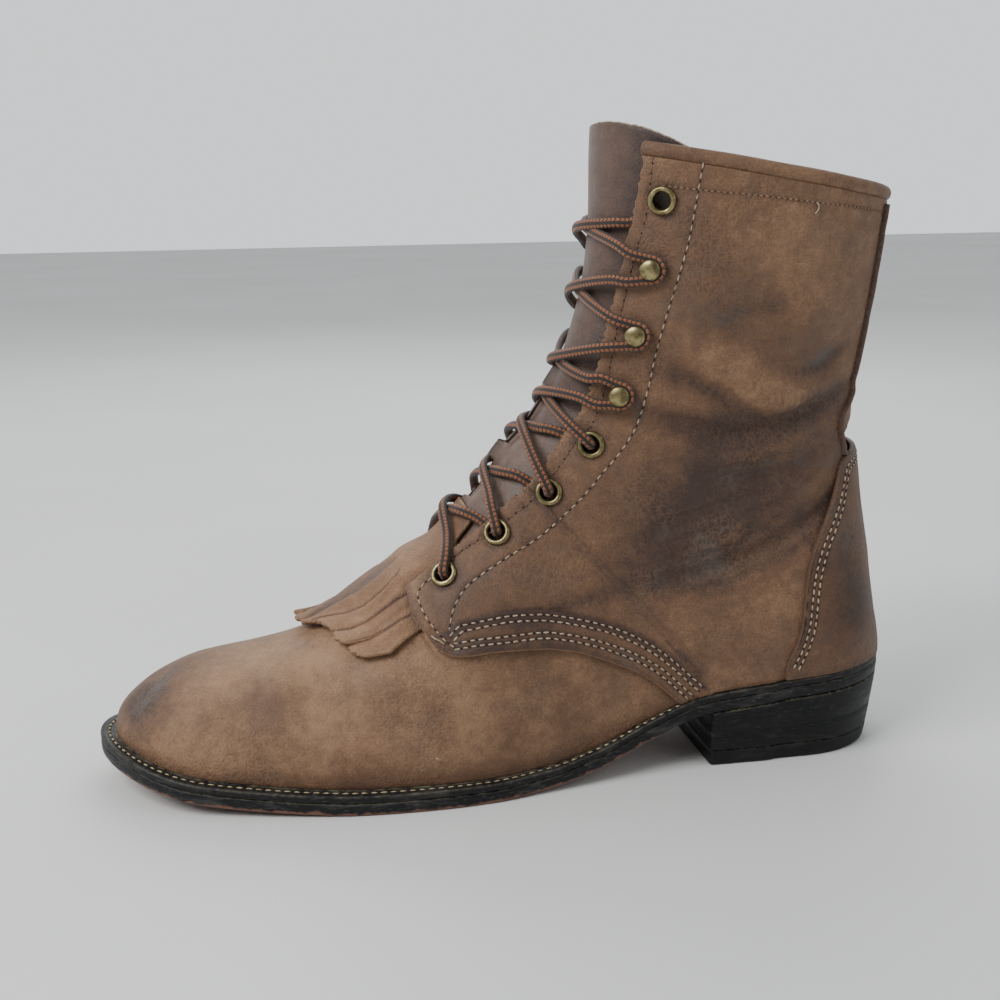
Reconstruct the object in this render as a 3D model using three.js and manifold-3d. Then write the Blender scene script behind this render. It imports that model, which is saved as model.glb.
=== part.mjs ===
// A left western kiltie boot, empty and upright on its sole.
// Millimetres, +Z up, toe toward -X, outer side of the foot toward -Y.
import * as THREE from 'three';
import ManifoldModule from 'manifold-3d';

const wasm = await ManifoldModule();
wasm.setup();
const { Manifold, Mesh: SolidMesh } = wasm;

// Driving sizes of the last
const bootLength = 304; // outsole, toe tip to back
const ballWidth = 87; // upper across the ball
const instepHeight = 104; // ridge of the instep above the sole
const shaftHeight = 214; // floor to the collar over the ankle
const shaftWidth = 84; // shaft across, near the collar
const toeSpring = 11.5; // lift of the sole at the toe tip
const heelHeight = 21.6; // floor to the outsole at the breast of the heel

// Stock thicknesses and gaps
const wall = 2.2; // vamp and quarter leather with lining
const quarterStep = 1.3; // the quarters lie this much over the vamp
const outsoleThickness = 4.6;
const weltThickness = 2.8;
const weltBearing = 3; // welt under the edge of the upper
const insoleGap = 0.8; // round the insole, inside the welt
const topLiftThickness = 6;
const tongueThickness = 2;
const tongueFace = -wall - 1.2; // the tongue lies this far under the surface of the last
const kiltieThickness = 1.8;
const kiltieLift = 0.9; // the loose flap over the vamp
const counterThickness = 1.3;
const pipingWidth = 3;
const pipingThickness = 1.4;
const rollRadius = 2.5;
const laceRadius = 1.9;
const clearance = 0.3; // between pieces that touch
const plates = outsoleThickness + weltThickness + 2 * clearance;

// Underside of the outsole: shares of the toe spring and of the heel height
const soleTable = [
  { along: 0.00, toe: 1.00, heel: 0 },
  { along: 0.04, toe: 0.77, heel: 0 },
  { along: 0.10, toe: 0.45, heel: 0 },
  { along: 0.17, toe: 0.22, heel: 0 },
  { along: 0.24, toe: 0.08, heel: 0 },
  { along: 0.31, toe: 0, heel: 0 },
  { along: 0.45, toe: 0, heel: 0 },
  { along: 0.53, toe: 0, heel: 0.065 },
  { along: 0.60, toe: 0, heel: 0.29 },
  { along: 0.66, toe: 0, heel: 0.62 },
  { along: 0.735, toe: 0, heel: 1.00 },
  { along: 0.80, toe: 0, heel: 1.10 },
  { along: 1.00, toe: 0, heel: 1.32 },
];

// Upright sections of the foot: shares of ball width, and ridge as a share of instep height
const footTable = [
  { along: 0.02, middle: 0.103, lateral: 0.345, medial: 0.310, ridge: 0.190, fullness: 2.3 },
  { along: 0.07, middle: 0.103, lateral: 0.414, medial: 0.328, ridge: 0.253, fullness: 2.3 },
  { along: 0.12, middle: 0.098, lateral: 0.454, medial: 0.345, ridge: 0.303, fullness: 2.3 },
  { along: 0.19, middle: 0.086, lateral: 0.500, medial: 0.379, ridge: 0.362, fullness: 2.25 },
  { along: 0.25, middle: 0.075, lateral: 0.534, medial: 0.408, ridge: 0.416, fullness: 2.2 },
  { along: 0.30, middle: 0.069, lateral: 0.557, medial: 0.420, ridge: 0.490, fullness: 2.15 },
  { along: 0.36, middle: 0.069, lateral: 0.575, medial: 0.420, ridge: 0.625, fullness: 2.1 },
  { along: 0.41, middle: 0.069, lateral: 0.580, medial: 0.402, ridge: 0.764, fullness: 2.05 },
  { along: 0.465, middle: 0.063, lateral: 0.563, medial: 0.374, ridge: 0.903, fullness: 2 },
  { along: 0.52, middle: 0.057, lateral: 0.523, medial: 0.339, ridge: 0.990, fullness: 2 },
  { along: 0.58, middle: 0.046, lateral: 0.477, medial: 0.316, ridge: 0.993, fullness: 2 },
  { along: 0.66, middle: 0.034, lateral: 0.420, medial: 0.310, ridge: 0.871, fullness: 2 },
  { along: 0.74, middle: 0.023, lateral: 0.374, medial: 0.310, ridge: 0.675, fullness: 2 },
  { along: 0.80, middle: 0.011, lateral: 0.333, medial: 0.299, ridge: 0.512, fullness: 2 },
];
const toeStart = 0.0195; // the upper starts here, a share of the length
const toeRound = 0.115; // length of the rounded toe
const footEnd = 0.8; // behind this the heel form carries the shape

// Level sections of heel and shaft: heights of shaftHeight, ends of bootLength, sides of shaftWidth
const shaftTable = [
  { up: 0.093, front: 0.651, back: 0.990, widest: 0.868, lateral: 0.387, medial: 0.375, fullness: 2.25 },
  { up: 0.168, front: 0.632, back: 0.989, widest: 0.872, lateral: 0.393, medial: 0.381, fullness: 2.25 },
  { up: 0.257, front: 0.599, back: 0.975, widest: 0.875, lateral: 0.405, medial: 0.393, fullness: 2.2 },
  { up: 0.350, front: 0.566, back: 0.965, widest: 0.868, lateral: 0.399, medial: 0.387, fullness: 2.15 },
  { up: 0.421, front: 0.539, back: 0.958, widest: 0.855, lateral: 0.387, medial: 0.375, fullness: 2.1 },
  { up: 0.481, front: 0.520, back: 0.953, widest: 0.829, lateral: 0.375, medial: 0.369, fullness: 2.1 },
  { up: 0.537, front: 0.520, back: 0.949, widest: 0.813, lateral: 0.375, medial: 0.369, fullness: 2.1 },
  { up: 0.617, front: 0.543, back: 0.946, widest: 0.789, lateral: 0.387, medial: 0.381, fullness: 2.1 },
  { up: 0.696, front: 0.566, back: 0.951, widest: 0.783, lateral: 0.405, medial: 0.399, fullness: 2.1 },
  { up: 0.771, front: 0.582, back: 0.959, widest: 0.789, lateral: 0.429, medial: 0.423, fullness: 2.1 },
  { up: 0.855, front: 0.597, back: 0.969, widest: 0.796, lateral: 0.452, medial: 0.446, fullness: 2.1 },
  { up: 0.958, front: 0.604, back: 0.975, widest: 0.803, lateral: 0.482, medial: 0.476, fullness: 2.1 },
  { up: 1.047, front: 0.605, back: 0.982, widest: 0.806, lateral: 0.500, medial: 0.494, fullness: 2.1 },
  { up: 1.121, front: 0.607, back: 0.985, widest: 0.806, lateral: 0.506, medial: 0.500, fullness: 2.1 },
];
const blend = 14; // softness of the join between foot and shaft

const toeTip = -bootLength / 2;
const alongOf = (x) => (x - toeTip) / bootLength;
const radians = THREE.MathUtils.degToRad;
const lerp = THREE.MathUtils.lerp;
const clamp = THREE.MathUtils.clamp;

// A smooth curve through one column of a table, without overshoot
function curve(table, from, column) {
  const at = table.map((row) => row[from]);
  const value = table.map((row) => row[column]);
  const last = at.length - 1;
  const step = at.slice(1).map((a, i) => a - at[i]);
  const rise = step.map((s, i) => (value[i + 1] - value[i]) / s);
  const slope = value.map((v, i) => {
    if (i === 0) return rise[0];
    if (i === last) return rise[last - 1];
    if (rise[i - 1] * rise[i] <= 0) return 0;
    const sum = 3 * (step[i - 1] + step[i]);
    return sum / ((2 * step[i] + step[i - 1]) / rise[i - 1] + (step[i] + 2 * step[i - 1]) / rise[i]);
  });
  return (where) => {
    const t = clamp(where, at[0], at[last]);
    let i = 0;
    while (i < last - 1 && t > at[i + 1]) i += 1;
    const s = (t - at[i]) / step[i];
    const held = (1 + 2 * s) * (1 - s) * (1 - s) * value[i] + s * s * (3 - 2 * s) * value[i + 1];
    const turned = s * (1 - s) * (1 - s) * slope[i] - s * s * (1 - s) * slope[i + 1];
    return held + step[i] * turned;
  };
}
const curves = (table, from) => Object.fromEntries(
  Object.keys(table[0]).filter((name) => name !== from).map((name) => [name, curve(table, from, name)]),
);
const sole = curves(soleTable, 'along');
const foot = curves(footTable, 'along');
const shaft = curves(shaftTable, 'up');

const underside = (x) => sole.toe(alongOf(x)) * toeSpring + sole.heel(alongOf(x)) * heelHeight;
const featherHeight = (x) => underside(x) + plates; // where the upper meets the welt
const middleOf = (x) => foot.middle(clamp(alongOf(x), toeStart, footEnd)) * ballWidth;
const noseOf = (along) => {
  const rest = 1 - clamp((along - toeStart) / toeRound, 0, 1);
  return Math.sqrt(1 - rest * rest) + 1e-4;
};
const ridgeOf = (x) => foot.ridge(alongOf(x)) * instepHeight * noseOf(alongOf(x)) ** 0.8;

// The last as one function: negative inside, about the distance in mm near its surface
function footField(x, y, z) {
  const along = alongOf(x);
  const share = clamp(along, toeStart, footEnd);
  const middle = foot.middle(share) * ballWidth;
  const side = y < middle ? foot.lateral(share) : foot.medial(share);
  const nose = noseOf(share);
  const half = side * ballWidth * nose;
  const ridge = foot.ridge(share) * instepHeight * nose ** 0.8;
  const power = foot.fullness(share);
  const across = Math.abs(y - middle) / half;
  const above = Math.max(z - featherHeight(x), 0) / ridge;
  const round = ((across ** power + above ** power) ** (1 / power) - 1) * Math.min(half, ridge);
  return Math.max(round, (toeStart - along) * bootLength, (along - footEnd) * bootLength);
}
function shaftField(x, y, z) {
  const up = z / shaftHeight;
  const widest = shaft.widest(up);
  const reach = alongOf(x) < widest ? widest - shaft.front(up) : shaft.back(up) - widest;
  const half = (y < 0 ? shaft.lateral(up) : shaft.medial(up)) * shaftWidth;
  const power = shaft.fullness(up);
  const lengthwise = Math.abs(alongOf(x) - widest) / reach;
  return ((lengthwise ** power + (Math.abs(y) / half) ** power) ** (1 / power) - 1) * half;
}
function field(x, y, z) {
  const a = footField(x, y, z);
  const b = shaftField(x, y, z);
  const near = Math.max(blend - Math.abs(a - b), 0) / blend;
  return Math.min(a, b) - near * near * blend / 4;
}
function outward(point) {
  const e = 0.05;
  const { x, y, z } = point;
  return new THREE.Vector3(
    field(x + e, y, z) - field(x - e, y, z),
    field(x, y + e, z) - field(x, y - e, z),
    field(x, y, z + e) - field(x, y, z - e),
  ).normalize();
}
function shoot(origin, direction) {
  let low = 0;
  let high = bootLength / 2;
  for (let step = 0; step < 40; step += 1) {
    const reach = (low + high) / 2;
    const inside = field(
      origin.x + direction.x * reach,
      origin.y + direction.y * reach,
      origin.z + direction.z * reach,
    ) < 0;
    if (inside) low = reach;
    else high = reach;
  }
  return origin.clone().addScaledVector(direction, low);
}

// Stations along the last: 0 to 1 toe to ball upright, 1 to 3 a fan about the pivot over the
// instep, 3 to 4 parallel up the shaft. Swing is the angle round from the ridge, outer side plus.
const pivot = { x: toeTip + 0.352 * bootLength, z: 0.771 * shaftHeight };
const collarSlope = radians(10);
const fanEnd = Math.PI / 2 - collarSlope;
const coreDrop = [0.631 * shaftHeight, 0.668 * shaftHeight]; // pivot to the core line of the fan
const collarRun = 0.349 * shaftHeight; // from station 3 up to the rim
const toeCrowding = 1.8; // stations crowd toward the toe tip
const toePoint = toeTip + toeStart * bootLength + 0.05;
const heelPoint = shoot(
  new THREE.Vector3(toeTip + 0.87 * bootLength, 0, heelHeight * 1.3 + plates),
  new THREE.Vector3(1, 0, 0),
).x;
const seatAngle = Math.atan2(heelPoint - pivot.x, pivot.z - featherHeight(heelPoint));

function stationAt(station) {
  if (station <= 1) {
    const x = lerp(toePoint, pivot.x, Math.max(station, 0) ** toeCrowding);
    const low = featherHeight(pivot.x);
    const share = (pivot.z - coreDrop[0] - low) / ridgeOf(pivot.x);
    const origin = new THREE.Vector3(x, middleOf(x), featherHeight(x) + share * ridgeOf(x));
    return { origin, ridgeward: new THREE.Vector3(0, 0, 1) };
  }
  const angle = station <= 2
    ? seatAngle * (station - 1)
    : lerp(seatAngle, fanEnd, Math.min(station - 2, 1));
  const share = angle / fanEnd;
  const drop = lerp(coreDrop[0], coreDrop[1], share);
  const rise = Math.max(station - 3, 0) * collarRun;
  const x = pivot.x + Math.sin(angle) * drop;
  const ridgeward = new THREE.Vector3(-Math.sin(angle), 0, Math.cos(angle));
  const middle = middleOf(x) * Math.max(0, 1 - 1.2 * share);
  const origin = new THREE.Vector3(
    x + Math.cos(angle) * rise,
    middle,
    pivot.z - Math.cos(angle) * drop + Math.sin(angle) * rise,
  );
  return { origin, ridgeward };
}
function swingRay(place, swing) {
  const direction = place.ridgeward.clone().multiplyScalar(Math.cos(swing));
  return direction.setY(-Math.sin(swing));
}
// The swing where a station meets the welt, or half a turn where it closes behind the heel
function edgeSwing(station, side) {
  if (station >= 2) return Math.PI;
  const { origin, ridgeward } = stationAt(station);
  let low = 0;
  let high = bootLength;
  for (let step = 0; step < 40; step += 1) {
    const reach = (low + high) / 2;
    const above = origin.z - ridgeward.z * reach > featherHeight(origin.x - ridgeward.x * reach);
    if (above) low = reach;
    else high = reach;
  }
  const start = origin.clone().addScaledVector(ridgeward, -low);
  const edge = shoot(start, new THREE.Vector3(0, -side, 0));
  return Math.PI - Math.atan2(Math.abs(edge.y - origin.y), low);
}
// A place on the surface with its outward normal, level where it rests on the welt
function surface(station, swing, onEdge = false) {
  const place = stationAt(station);
  const at = shoot(place.origin, swingRay(place, swing));
  const out = outward(at);
  if (onEdge) out.setZ(0).normalize();
  return { at, out };
}
const lifted = ({ at, out }, lift) => at.clone().addScaledVector(out, lift);

// Closed solids from grids of surface places
function solidOf(points, triangles) {
  const mesh = new SolidMesh({
    numProp: 3,
    vertProperties: new Float32Array(points.flatMap((p) => [p.x, p.y, p.z])),
    triVerts: new Uint32Array(triangles.flat()),
  });
  return new Manifold(mesh);
}
// A slab over a grid of places, from one lift to another; a lift may depend on row and column
function sheet(grid, low, high) {
  const liftOf = (lift, i, j) => (typeof lift === 'function' ? lift(i, j) : lift);
  const rows = grid.length;
  const columns = grid[0].length;
  const layer = (lift) => grid.flatMap((row, i) => row.map((place, j) => lifted(place, liftOf(lift, i, j))));
  const points = [...layer(low), ...layer(high)];
  const half = rows * columns;
  const triangles = [];
  const quad = (a, b, c, d) => triangles.push([a, b, c], [a, c, d]);
  const id = (i, j) => i * columns + j;
  for (let i = 0; i < rows - 1; i += 1) {
    for (let j = 0; j < columns - 1; j += 1) {
      quad(id(i, j), id(i, j + 1), id(i + 1, j + 1), id(i + 1, j));
      quad(half + id(i, j), half + id(i + 1, j), half + id(i + 1, j + 1), half + id(i, j + 1));
    }
  }
  const rim = [];
  for (let j = 0; j < columns - 1; j += 1) rim.push(id(0, j));
  for (let i = 0; i < rows - 1; i += 1) rim.push(id(i, columns - 1));
  for (let j = columns - 1; j > 0; j -= 1) rim.push(id(rows - 1, j));
  for (let i = rows - 1; i > 0; i -= 1) rim.push(id(i, 0));
  rim.forEach((a, k) => {
    const b = rim[(k + 1) % rim.length];
    quad(a, half + a, half + b, b);
  });
  const solid = solidOf(points, triangles);
  return solid.volume() > 0 ? solid : solidOf(points, triangles.map(([a, b, c]) => [a, c, b]));
}
const ramp = (count, shape = (t) => t) => Array.from({ length: count + 1 }, (_, i) => shape(i / count));
const spread = (from, to, count) => ramp(count, (t) => lerp(from, to, t));

// The largest body of a solid, without the slivers and pockets that facets leave at a join
function mainBody(solid) {
  return solid.decompose().reduce((best, part) => (part.volume() > best.volume() ? part : best));
}

// The whole last as a grid: rows are stations, columns go from welt to welt over the ridge
// Shares of the way from ridge to welt, closest along the eyestays
const halfShares = [0, 0.09, 0.15, 0.21, 0.3, 0.42, 0.55, 0.68, 0.8, 0.91, 1];
const shares = [...halfShares.slice(1).map((share) => -share).reverse(), ...halfShares];
const stations = [
  ...ramp(10),
  ...ramp(14, (t) => 2 - (1 - t) ** 2).slice(1),
  ...spread(2, 3, 5).slice(1),
  ...spread(3, 4, 5).slice(1),
].slice(1);
const shellRows = stations.map((station) => {
  const edges = { 1: edgeSwing(station, 1), [-1]: edgeSwing(station, -1) };
  return shares.map((share) => {
    const side = share < 0 ? -1 : 1;
    return surface(station, edges[side] * share, Math.abs(share) === 1 && station < 2);
  });
});
const seatRow = stations.findIndex((station) => station >= 2);
const toePlace = {
  at: new THREE.Vector3(toePoint, middleOf(toePoint), featherHeight(toePoint)),
  out: new THREE.Vector3(-1, 0, 0),
};
// A wall that follows the last: open underneath as far as the seat, and open at the collar
function shellSolid(low, high) {
  const width = shares.length;
  const points = [];
  const layer = (lift) => {
    const start = points.length;
    points.push(lifted(toePlace, lift));
    shellRows.forEach((row) => row.forEach((place) => points.push(lifted(place, lift))));
    return (i, j) => {
      if (i < 0) return start;
      const column = i >= seatRow && j === width - 1 ? 0 : j;
      return start + 1 + i * width + column;
    };
  };
  const inner = layer(low);
  const outer = layer(high);
  const triangles = [];
  const add = (a, b, c) => {
    if (a !== b && b !== c && a !== c) triangles.push([a, b, c]);
  };
  const quad = (a, b, c, d) => {
    add(a, b, c);
    add(a, c, d);
  };
  for (let i = -1; i < stations.length - 1; i += 1) {
    for (let j = 0; j < width - 1; j += 1) {
      quad(outer(i, j), outer(i + 1, j), outer(i + 1, j + 1), outer(i, j + 1));
      quad(inner(i, j), inner(i, j + 1), inner(i + 1, j + 1), inner(i + 1, j));
    }
  }
  for (let i = -1; i < seatRow; i += 1) {
    quad(outer(i, 0), inner(i, 0), inner(i + 1, 0), outer(i + 1, 0));
    quad(outer(i, width - 1), outer(i + 1, width - 1), inner(i + 1, width - 1), inner(i, width - 1));
  }
  const top = stations.length - 1;
  for (let j = 0; j < width - 1; j += 1) {
    quad(outer(top, j), inner(top, j), inner(top, j + 1), outer(top, j + 1));
  }
  const used = new Map();
  triangles.flat().forEach((index) => used.has(index) || used.set(index, used.size));
  const kept = [...used.keys()].map((index) => points[index]);
  const wallTriangles = triangles.map((triangle) => triangle.map((index) => used.get(index)));
  const solid = solidOf(kept, wallTriangles);
  return solid.volume() > 0 ? solid : solidOf(kept, wallTriangles.map(([a, b, c]) => [a, c, b]));
}

// Seams and openings on the last, in stations and degrees of swing, alike on both sides
const throatTable = [
  { station: 1.02, swing: 20 },
  { station: 1.09, swing: 26 },
  { station: 1.19, swing: 23 },
  { station: 1.35, swing: 19.5 },
  { station: 1.70, swing: 16.5 },
  { station: 2.10, swing: 15.5 },
  { station: 2.50, swing: 17 },
  { station: 3.00, swing: 18 },
  { station: 3.50, swing: 20.5 },
  { station: 4.00, swing: 24.5 },
  { station: 4.30, swing: 25 },
];
const quarterTable = [
  { station: 1.09, swing: 42 },
  { station: 1.126, swing: 53 },
  { station: 1.147, swing: 58 },
  { station: 1.196, swing: 62 },
  { station: 1.313, swing: 64 },
  { station: 1.447, swing: 70 },
  { station: 1.531, swing: 80 },
  { station: 1.608, swing: 102 },
  { station: 1.650, swing: 121 },
  { station: 1.672, swing: 140 },
  { station: 1.690, swing: 160 },
];
const eyeletTable = [
  { station: 1.239, swing: 28 },
  { station: 1.519, swing: 22 },
  { station: 1.811, swing: 20.5 },
  { station: 2.212, swing: 22 },
  { station: 3.819, swing: 30 },
];
const hookTable = [
  { station: 2.790, swing: 25 },
  { station: 3.192, swing: 27 },
  { station: 3.507, swing: 29 },
];
// Tongue: half its swing, and how far its top stands over the rim as a share of collarRun
const tongueTable = [
  { station: 1.00, swing: 22 },
  { station: 1.20, swing: 34 },
  { station: 1.60, swing: 31 },
  { station: 2.10, swing: 29 },
  { station: 3.00, swing: 31 },
  { station: 4.00, swing: 35 },
  { station: 4.30, swing: 36 },
];
const tongueTop = [
  { swing: 0, rise: 0.118 },
  { swing: 5, rise: 0.125 },
  { swing: 12, rise: 0.133 },
  { swing: 20, rise: 0.128 },
  { swing: 28, rise: 0.104 },
  { swing: 36, rise: 0.066 },
];
// Kiltie: front rim and rear end by swing, outer side plus
const kiltieTable = [
  { swing: -58, rim: 1.000, end: 1.030 },
  { swing: -56, rim: 0.950, end: 1.055 },
  { swing: -50, rim: 0.900, end: 1.070 },
  { swing: -40, rim: 0.850, end: 1.070 },
  { swing: -27, rim: 0.822, end: 1.068 },
  { swing: -21, rim: 0.818, end: 1.080 },
  { swing: -17, rim: 0.816, end: 1.220 },
  { swing: -10, rim: 0.818, end: 1.440 },
  { swing: 10, rim: 0.843, end: 1.440 },
  { swing: 17, rim: 0.858, end: 1.220 },
  { swing: 21, rim: 0.865, end: 1.080 },
  { swing: 27, rim: 0.876, end: 1.068 },
  { swing: 40, rim: 0.898, end: 1.070 },
  { swing: 50, rim: 0.922, end: 1.070 },
  { swing: 56, rim: 0.959, end: 1.055 },
  { swing: 58, rim: 1.000, end: 1.030 },
];
const fringeSlits = [-46, -34, -22, -10, 3, 14, 25, 36, 46]; // degrees of swing
const slitLength = 0.07; // in stations
const slitWidth = 0.9; // degrees
// Counter: its upper edge by bearing round the heel from straight back, a share of shaftHeight
const counterTable = [
  { bearing: 0, up: 0.548 },
  { bearing: 20, up: 0.544 },
  { bearing: 41, up: 0.532 },
  { bearing: 54.5, up: 0.468 },
  { bearing: 65, up: 0.423 },
  { bearing: 71, up: 0.384 },
  { bearing: 75, up: 0.333 },
  { bearing: 77.5, up: 0.250 },
  { bearing: 86, up: 0.175 },
];

// The upper, one hollow wall whose quarters step out over the vamp
// The back seam, pulled round to the outer side: up the shaft and degrees from straight back
const backSeamTable = [
  { up: 0.54, bearing: 38 },
  { up: 0.598, bearing: 42 },
  { up: 0.654, bearing: 28 },
  { up: 0.738, bearing: 28 },
  { up: 0.86, bearing: 31 },
  { up: 0.981, bearing: 30 },
  { up: 1.1, bearing: 29 },
];
const throat = curve(throatTable, 'station', 'swing');
const quarterEdge = curve(quarterTable, 'station', 'swing');
function band(rows, from, to, count) {
  return rows.map((station) => spread(from(station), to(station), count)
    .map((swing) => surface(station, radians(swing))));
}
function throatCutter() {
  const rows = [...spread(1.02, 2, 8), ...spread(2, 4.3, 9).slice(1)];
  return sheet(band(rows, (s) => -throat(s), throat, 4), -9, 7);
}
function vampCutter(side) {
  const rows = [...spread(1.08, 1.5, 9), ...spread(1.5, 1.69, 8).slice(1)];
  const beyond = (s) => side * (THREE.MathUtils.radToDeg(edgeSwing(s, side)) + 4);
  return sheet(band(rows, (s) => side * quarterEdge(s), beyond, 5), -1.2 * wall, 3);
}
function facingTurn({ at, out }) {
  const turn = new THREE.Quaternion().setFromUnitVectors(new THREE.Vector3(0, 0, 1), out);
  return new THREE.Matrix4().compose(at, turn, new THREE.Vector3(1, 1, 1));
}
function fromGeometry(geometry) {
  const mesh = new SolidMesh({
    numProp: 3,
    vertProperties: new Float32Array(geometry.attributes.position.array),
    triVerts: geometry.index
      ? new Uint32Array(geometry.index.array)
      : Uint32Array.from({ length: geometry.attributes.position.count }, (_, i) => i),
  });
  mesh.merge();
  return new Manifold(mesh);
}
const eyeletFlange = 5; // radius
const eyeletHole = 3; // radius
const eyeletTube = 0.5; // wall of the barrel
const eyeletHeight = 1;
const fittingSides = 8;
const sides = { lateral: 1, medial: -1 };
const onSide = (spot, side) => surface(spot.station, radians(spot.swing) * side);

function eyeletDrill(spot, side) {
  const radius = eyeletHole + eyeletTube + clearance;
  const drill = new THREE.CylinderGeometry(radius, radius, 16, fittingSides).rotateX(Math.PI / 2);
  return fromGeometry(drill.applyMatrix4(facingTurn(onSide(spot, side))));
}
function upperSolid() {
  const thin = shellSolid(-wall, 0);
  const corner = seatAngle * (quarterTable[0].station - 1);
  const normal = [Math.cos(corner), 0, Math.sin(corner)];
  const offset = pivot.x * normal[0] + pivot.z * normal[2];
  const quarters = shellSolid(-0.8 * wall, quarterStep)
    .trimByPlane(normal, offset)
    .subtract(vampCutter(1))
    .subtract(vampCutter(-1));
  const drills = Object.values(sides).flatMap((side) => eyeletTable.map((spot) => eyeletDrill(spot, side)));
  return mainBody(thin.add(quarters).subtract(throatCutter()).subtract(Manifold.union(drills)));
}

// Sheets over and under the upper
function tongueSolid() {
  const width = curve(tongueTable, 'station', 'swing');
  const top = curve(tongueTop, 'swing', 'rise');
  const across = spread(-1, 1, 10);
  const grid = ramp(13).map((t) => across.map((share) => {
    const edge = 4 + top(Math.abs(share) * 36);
    const station = lerp(1.06, edge, t);
    return surface(station, radians(width(station) * share));
  }));
  return sheet(grid, tongueFace - tongueThickness, tongueFace);
}
function kiltieSolid() {
  const rim = curve(kiltieTable, 'swing', 'rim');
  const end = curve(kiltieTable, 'swing', 'end');
  const columns = [...spread(-57.5, -10, 7), ...spread(-10, 10, 4).slice(1, -1), ...spread(10, 57.5, 7)];
  const rows = ramp(6);
  const stationOf = (i, j) => lerp(rim(columns[j]), end(columns[j]), rows[i]);
  const grid = rows.map((_, i) => columns.map((swing, j) => surface(stationOf(i, j), radians(swing))));
  const sunk = kiltieLift - tongueFace - 0.6;
  const low = (i, j) => kiltieLift - sunk * THREE.MathUtils.smoothstep(stationOf(i, j), 1.09, 1.25);
  const flap = sheet(grid, low, (i, j) => low(i, j) + kiltieThickness);
  const slits = fringeSlits.map((swing) => {
    const start = rim(swing) - 0.02;
    const run = spread(start, rim(swing) + slitLength, 1);
    const cut = run.map((station) => [-slitWidth, slitWidth]
      .map((offset) => surface(station, radians(swing + offset))));
    return sheet(cut, 0, kiltieThickness + 3);
  });
  return mainBody(flap.subtract(Manifold.union(slits)));
}
// Places round the heel, by height and bearing from straight back
function roundHeel(height, bearing, onEdge = false) {
  const origin = new THREE.Vector3(toeTip + 0.83 * bootLength, 0, height);
  const at = shoot(origin, new THREE.Vector3(Math.cos(bearing), -Math.sin(bearing), 0));
  const out = outward(at);
  if (onEdge) out.setZ(0).normalize();
  return { at, out };
}
function onFeather(bearing) {
  let height = featherHeight(heelPoint);
  for (let step = 0; step < 12; step += 1) height = featherHeight(roundHeel(height, bearing).at.x);
  return height;
}
function counterSolid() {
  const top = curve(counterTable, 'bearing', 'up');
  const bearings = spread(-86, 86, 18);
  const grid = ramp(6).map((t) => bearings.map((degrees) => {
    const bearing = radians(degrees);
    const height = lerp(onFeather(bearing), top(Math.abs(degrees)) * shaftHeight, t ** 1.2);
    return roundHeel(height, bearing, t === 0);
  }));
  const face = quarterStep + 2.2 * clearance;
  return sheet(grid, face, face + counterThickness);
}
function pipingSolid() {
  const seam = curve(backSeamTable, 'up', 'bearing');
  const low = (backSeamTable[0].up + 0.009) * shaftHeight;
  const rim = surface(4, Math.PI - radians(seam(1.1))).at.z - 1.5;
  const half = Math.atan2(pipingWidth / 2, 0.14 * bootLength);
  const grid = spread(low, rim, 14).map((height) => {
    const middle = radians(seam(height / shaftHeight));
    return [middle - half, middle + half].map((bearing) => roundHeel(height, bearing));
  });
  const face = quarterStep + clearance;
  return sheet(grid, face, face + pipingThickness);
}

// Tubes along a route of points
function circle(radius, count) {
  const shape = new THREE.Shape();
  ramp(count).slice(0, -1).forEach((share, i) => {
    const x = radius * Math.cos(2 * Math.PI * share);
    const y = radius * Math.sin(2 * Math.PI * share);
    if (i === 0) shape.moveTo(x, y);
    else shape.lineTo(x, y);
  });
  shape.closePath();
  return shape;
}
function tube(route, radius, steps, count = 5) {
  const path = new THREE.CatmullRomCurve3(route, false, 'centripetal');
  const options = { steps, extrudePath: path, bevelEnabled: false, curveSegments: 1 };
  return fromGeometry(new THREE.ExtrudeGeometry(circle(radius, count), options));
}
function rollSolid() {
  const start = throat(4) + 0.4;
  const lift = (quarterStep - wall) / 2;
  const route = spread(start, 360 - start, 24).map((degrees) => {
    const place = surface(4, radians(degrees));
    const onRim = lifted(place, lift);
    const up = new THREE.Vector3(Math.cos(fanEnd), 0, Math.sin(fanEnd));
    return onRim.addScaledVector(up, rollRadius + clearance);
  });
  return tube(route, rollRadius, 20, 6);
}

// Laces: centre lines by station, swing in degrees and lift
const overQuarter = quarterStep + clearance + laceRadius + 0.2;
const overTongue = tongueFace + clearance + laceRadius + 0.4;
const overKiltie = overTongue + kiltieThickness + 0.6;
const spotAt = (station, swing, lift) => lifted(surface(station, radians(swing)), lift);

// A strand from beside an eyelet, over the eyestay's edge and down across the tongue
function eyeletStrand(lower, upper, side, base) {
  const from = eyeletTable[upper];
  const to = eyeletTable[lower];
  const start = throat(from.station) - 7;
  const finish = to.swing - 6;
  return [
    spotAt(from.station - 0.05, side * start, base),
    spotAt(lerp(from.station, to.station, 0.3), side * start * 0.5, base + 0.3),
    spotAt(lerp(from.station, to.station, 0.5), 0, base + 0.4),
    spotAt(lerp(from.station, to.station, 0.75), -side * throat(to.station) * 0.6, base + 1),
    spotAt(lerp(from.station, to.station, 0.92), -side * (throat(to.station) - 2), overQuarter + 0.8),
    spotAt(to.station, -side * finish, overQuarter + 0.8),
  ];
}
function lowerLaces() {
  const bases = [overKiltie + 0.5, overTongue + 0.35, overTongue + 0.6];
  return bases.map((base, k) => {
    const strands = Object.values(sides)
      .map((side) => tube(eyeletStrand(k, k + 1, side, base), laceRadius, 7));
    return Manifold.union(strands);
  });
}
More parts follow.
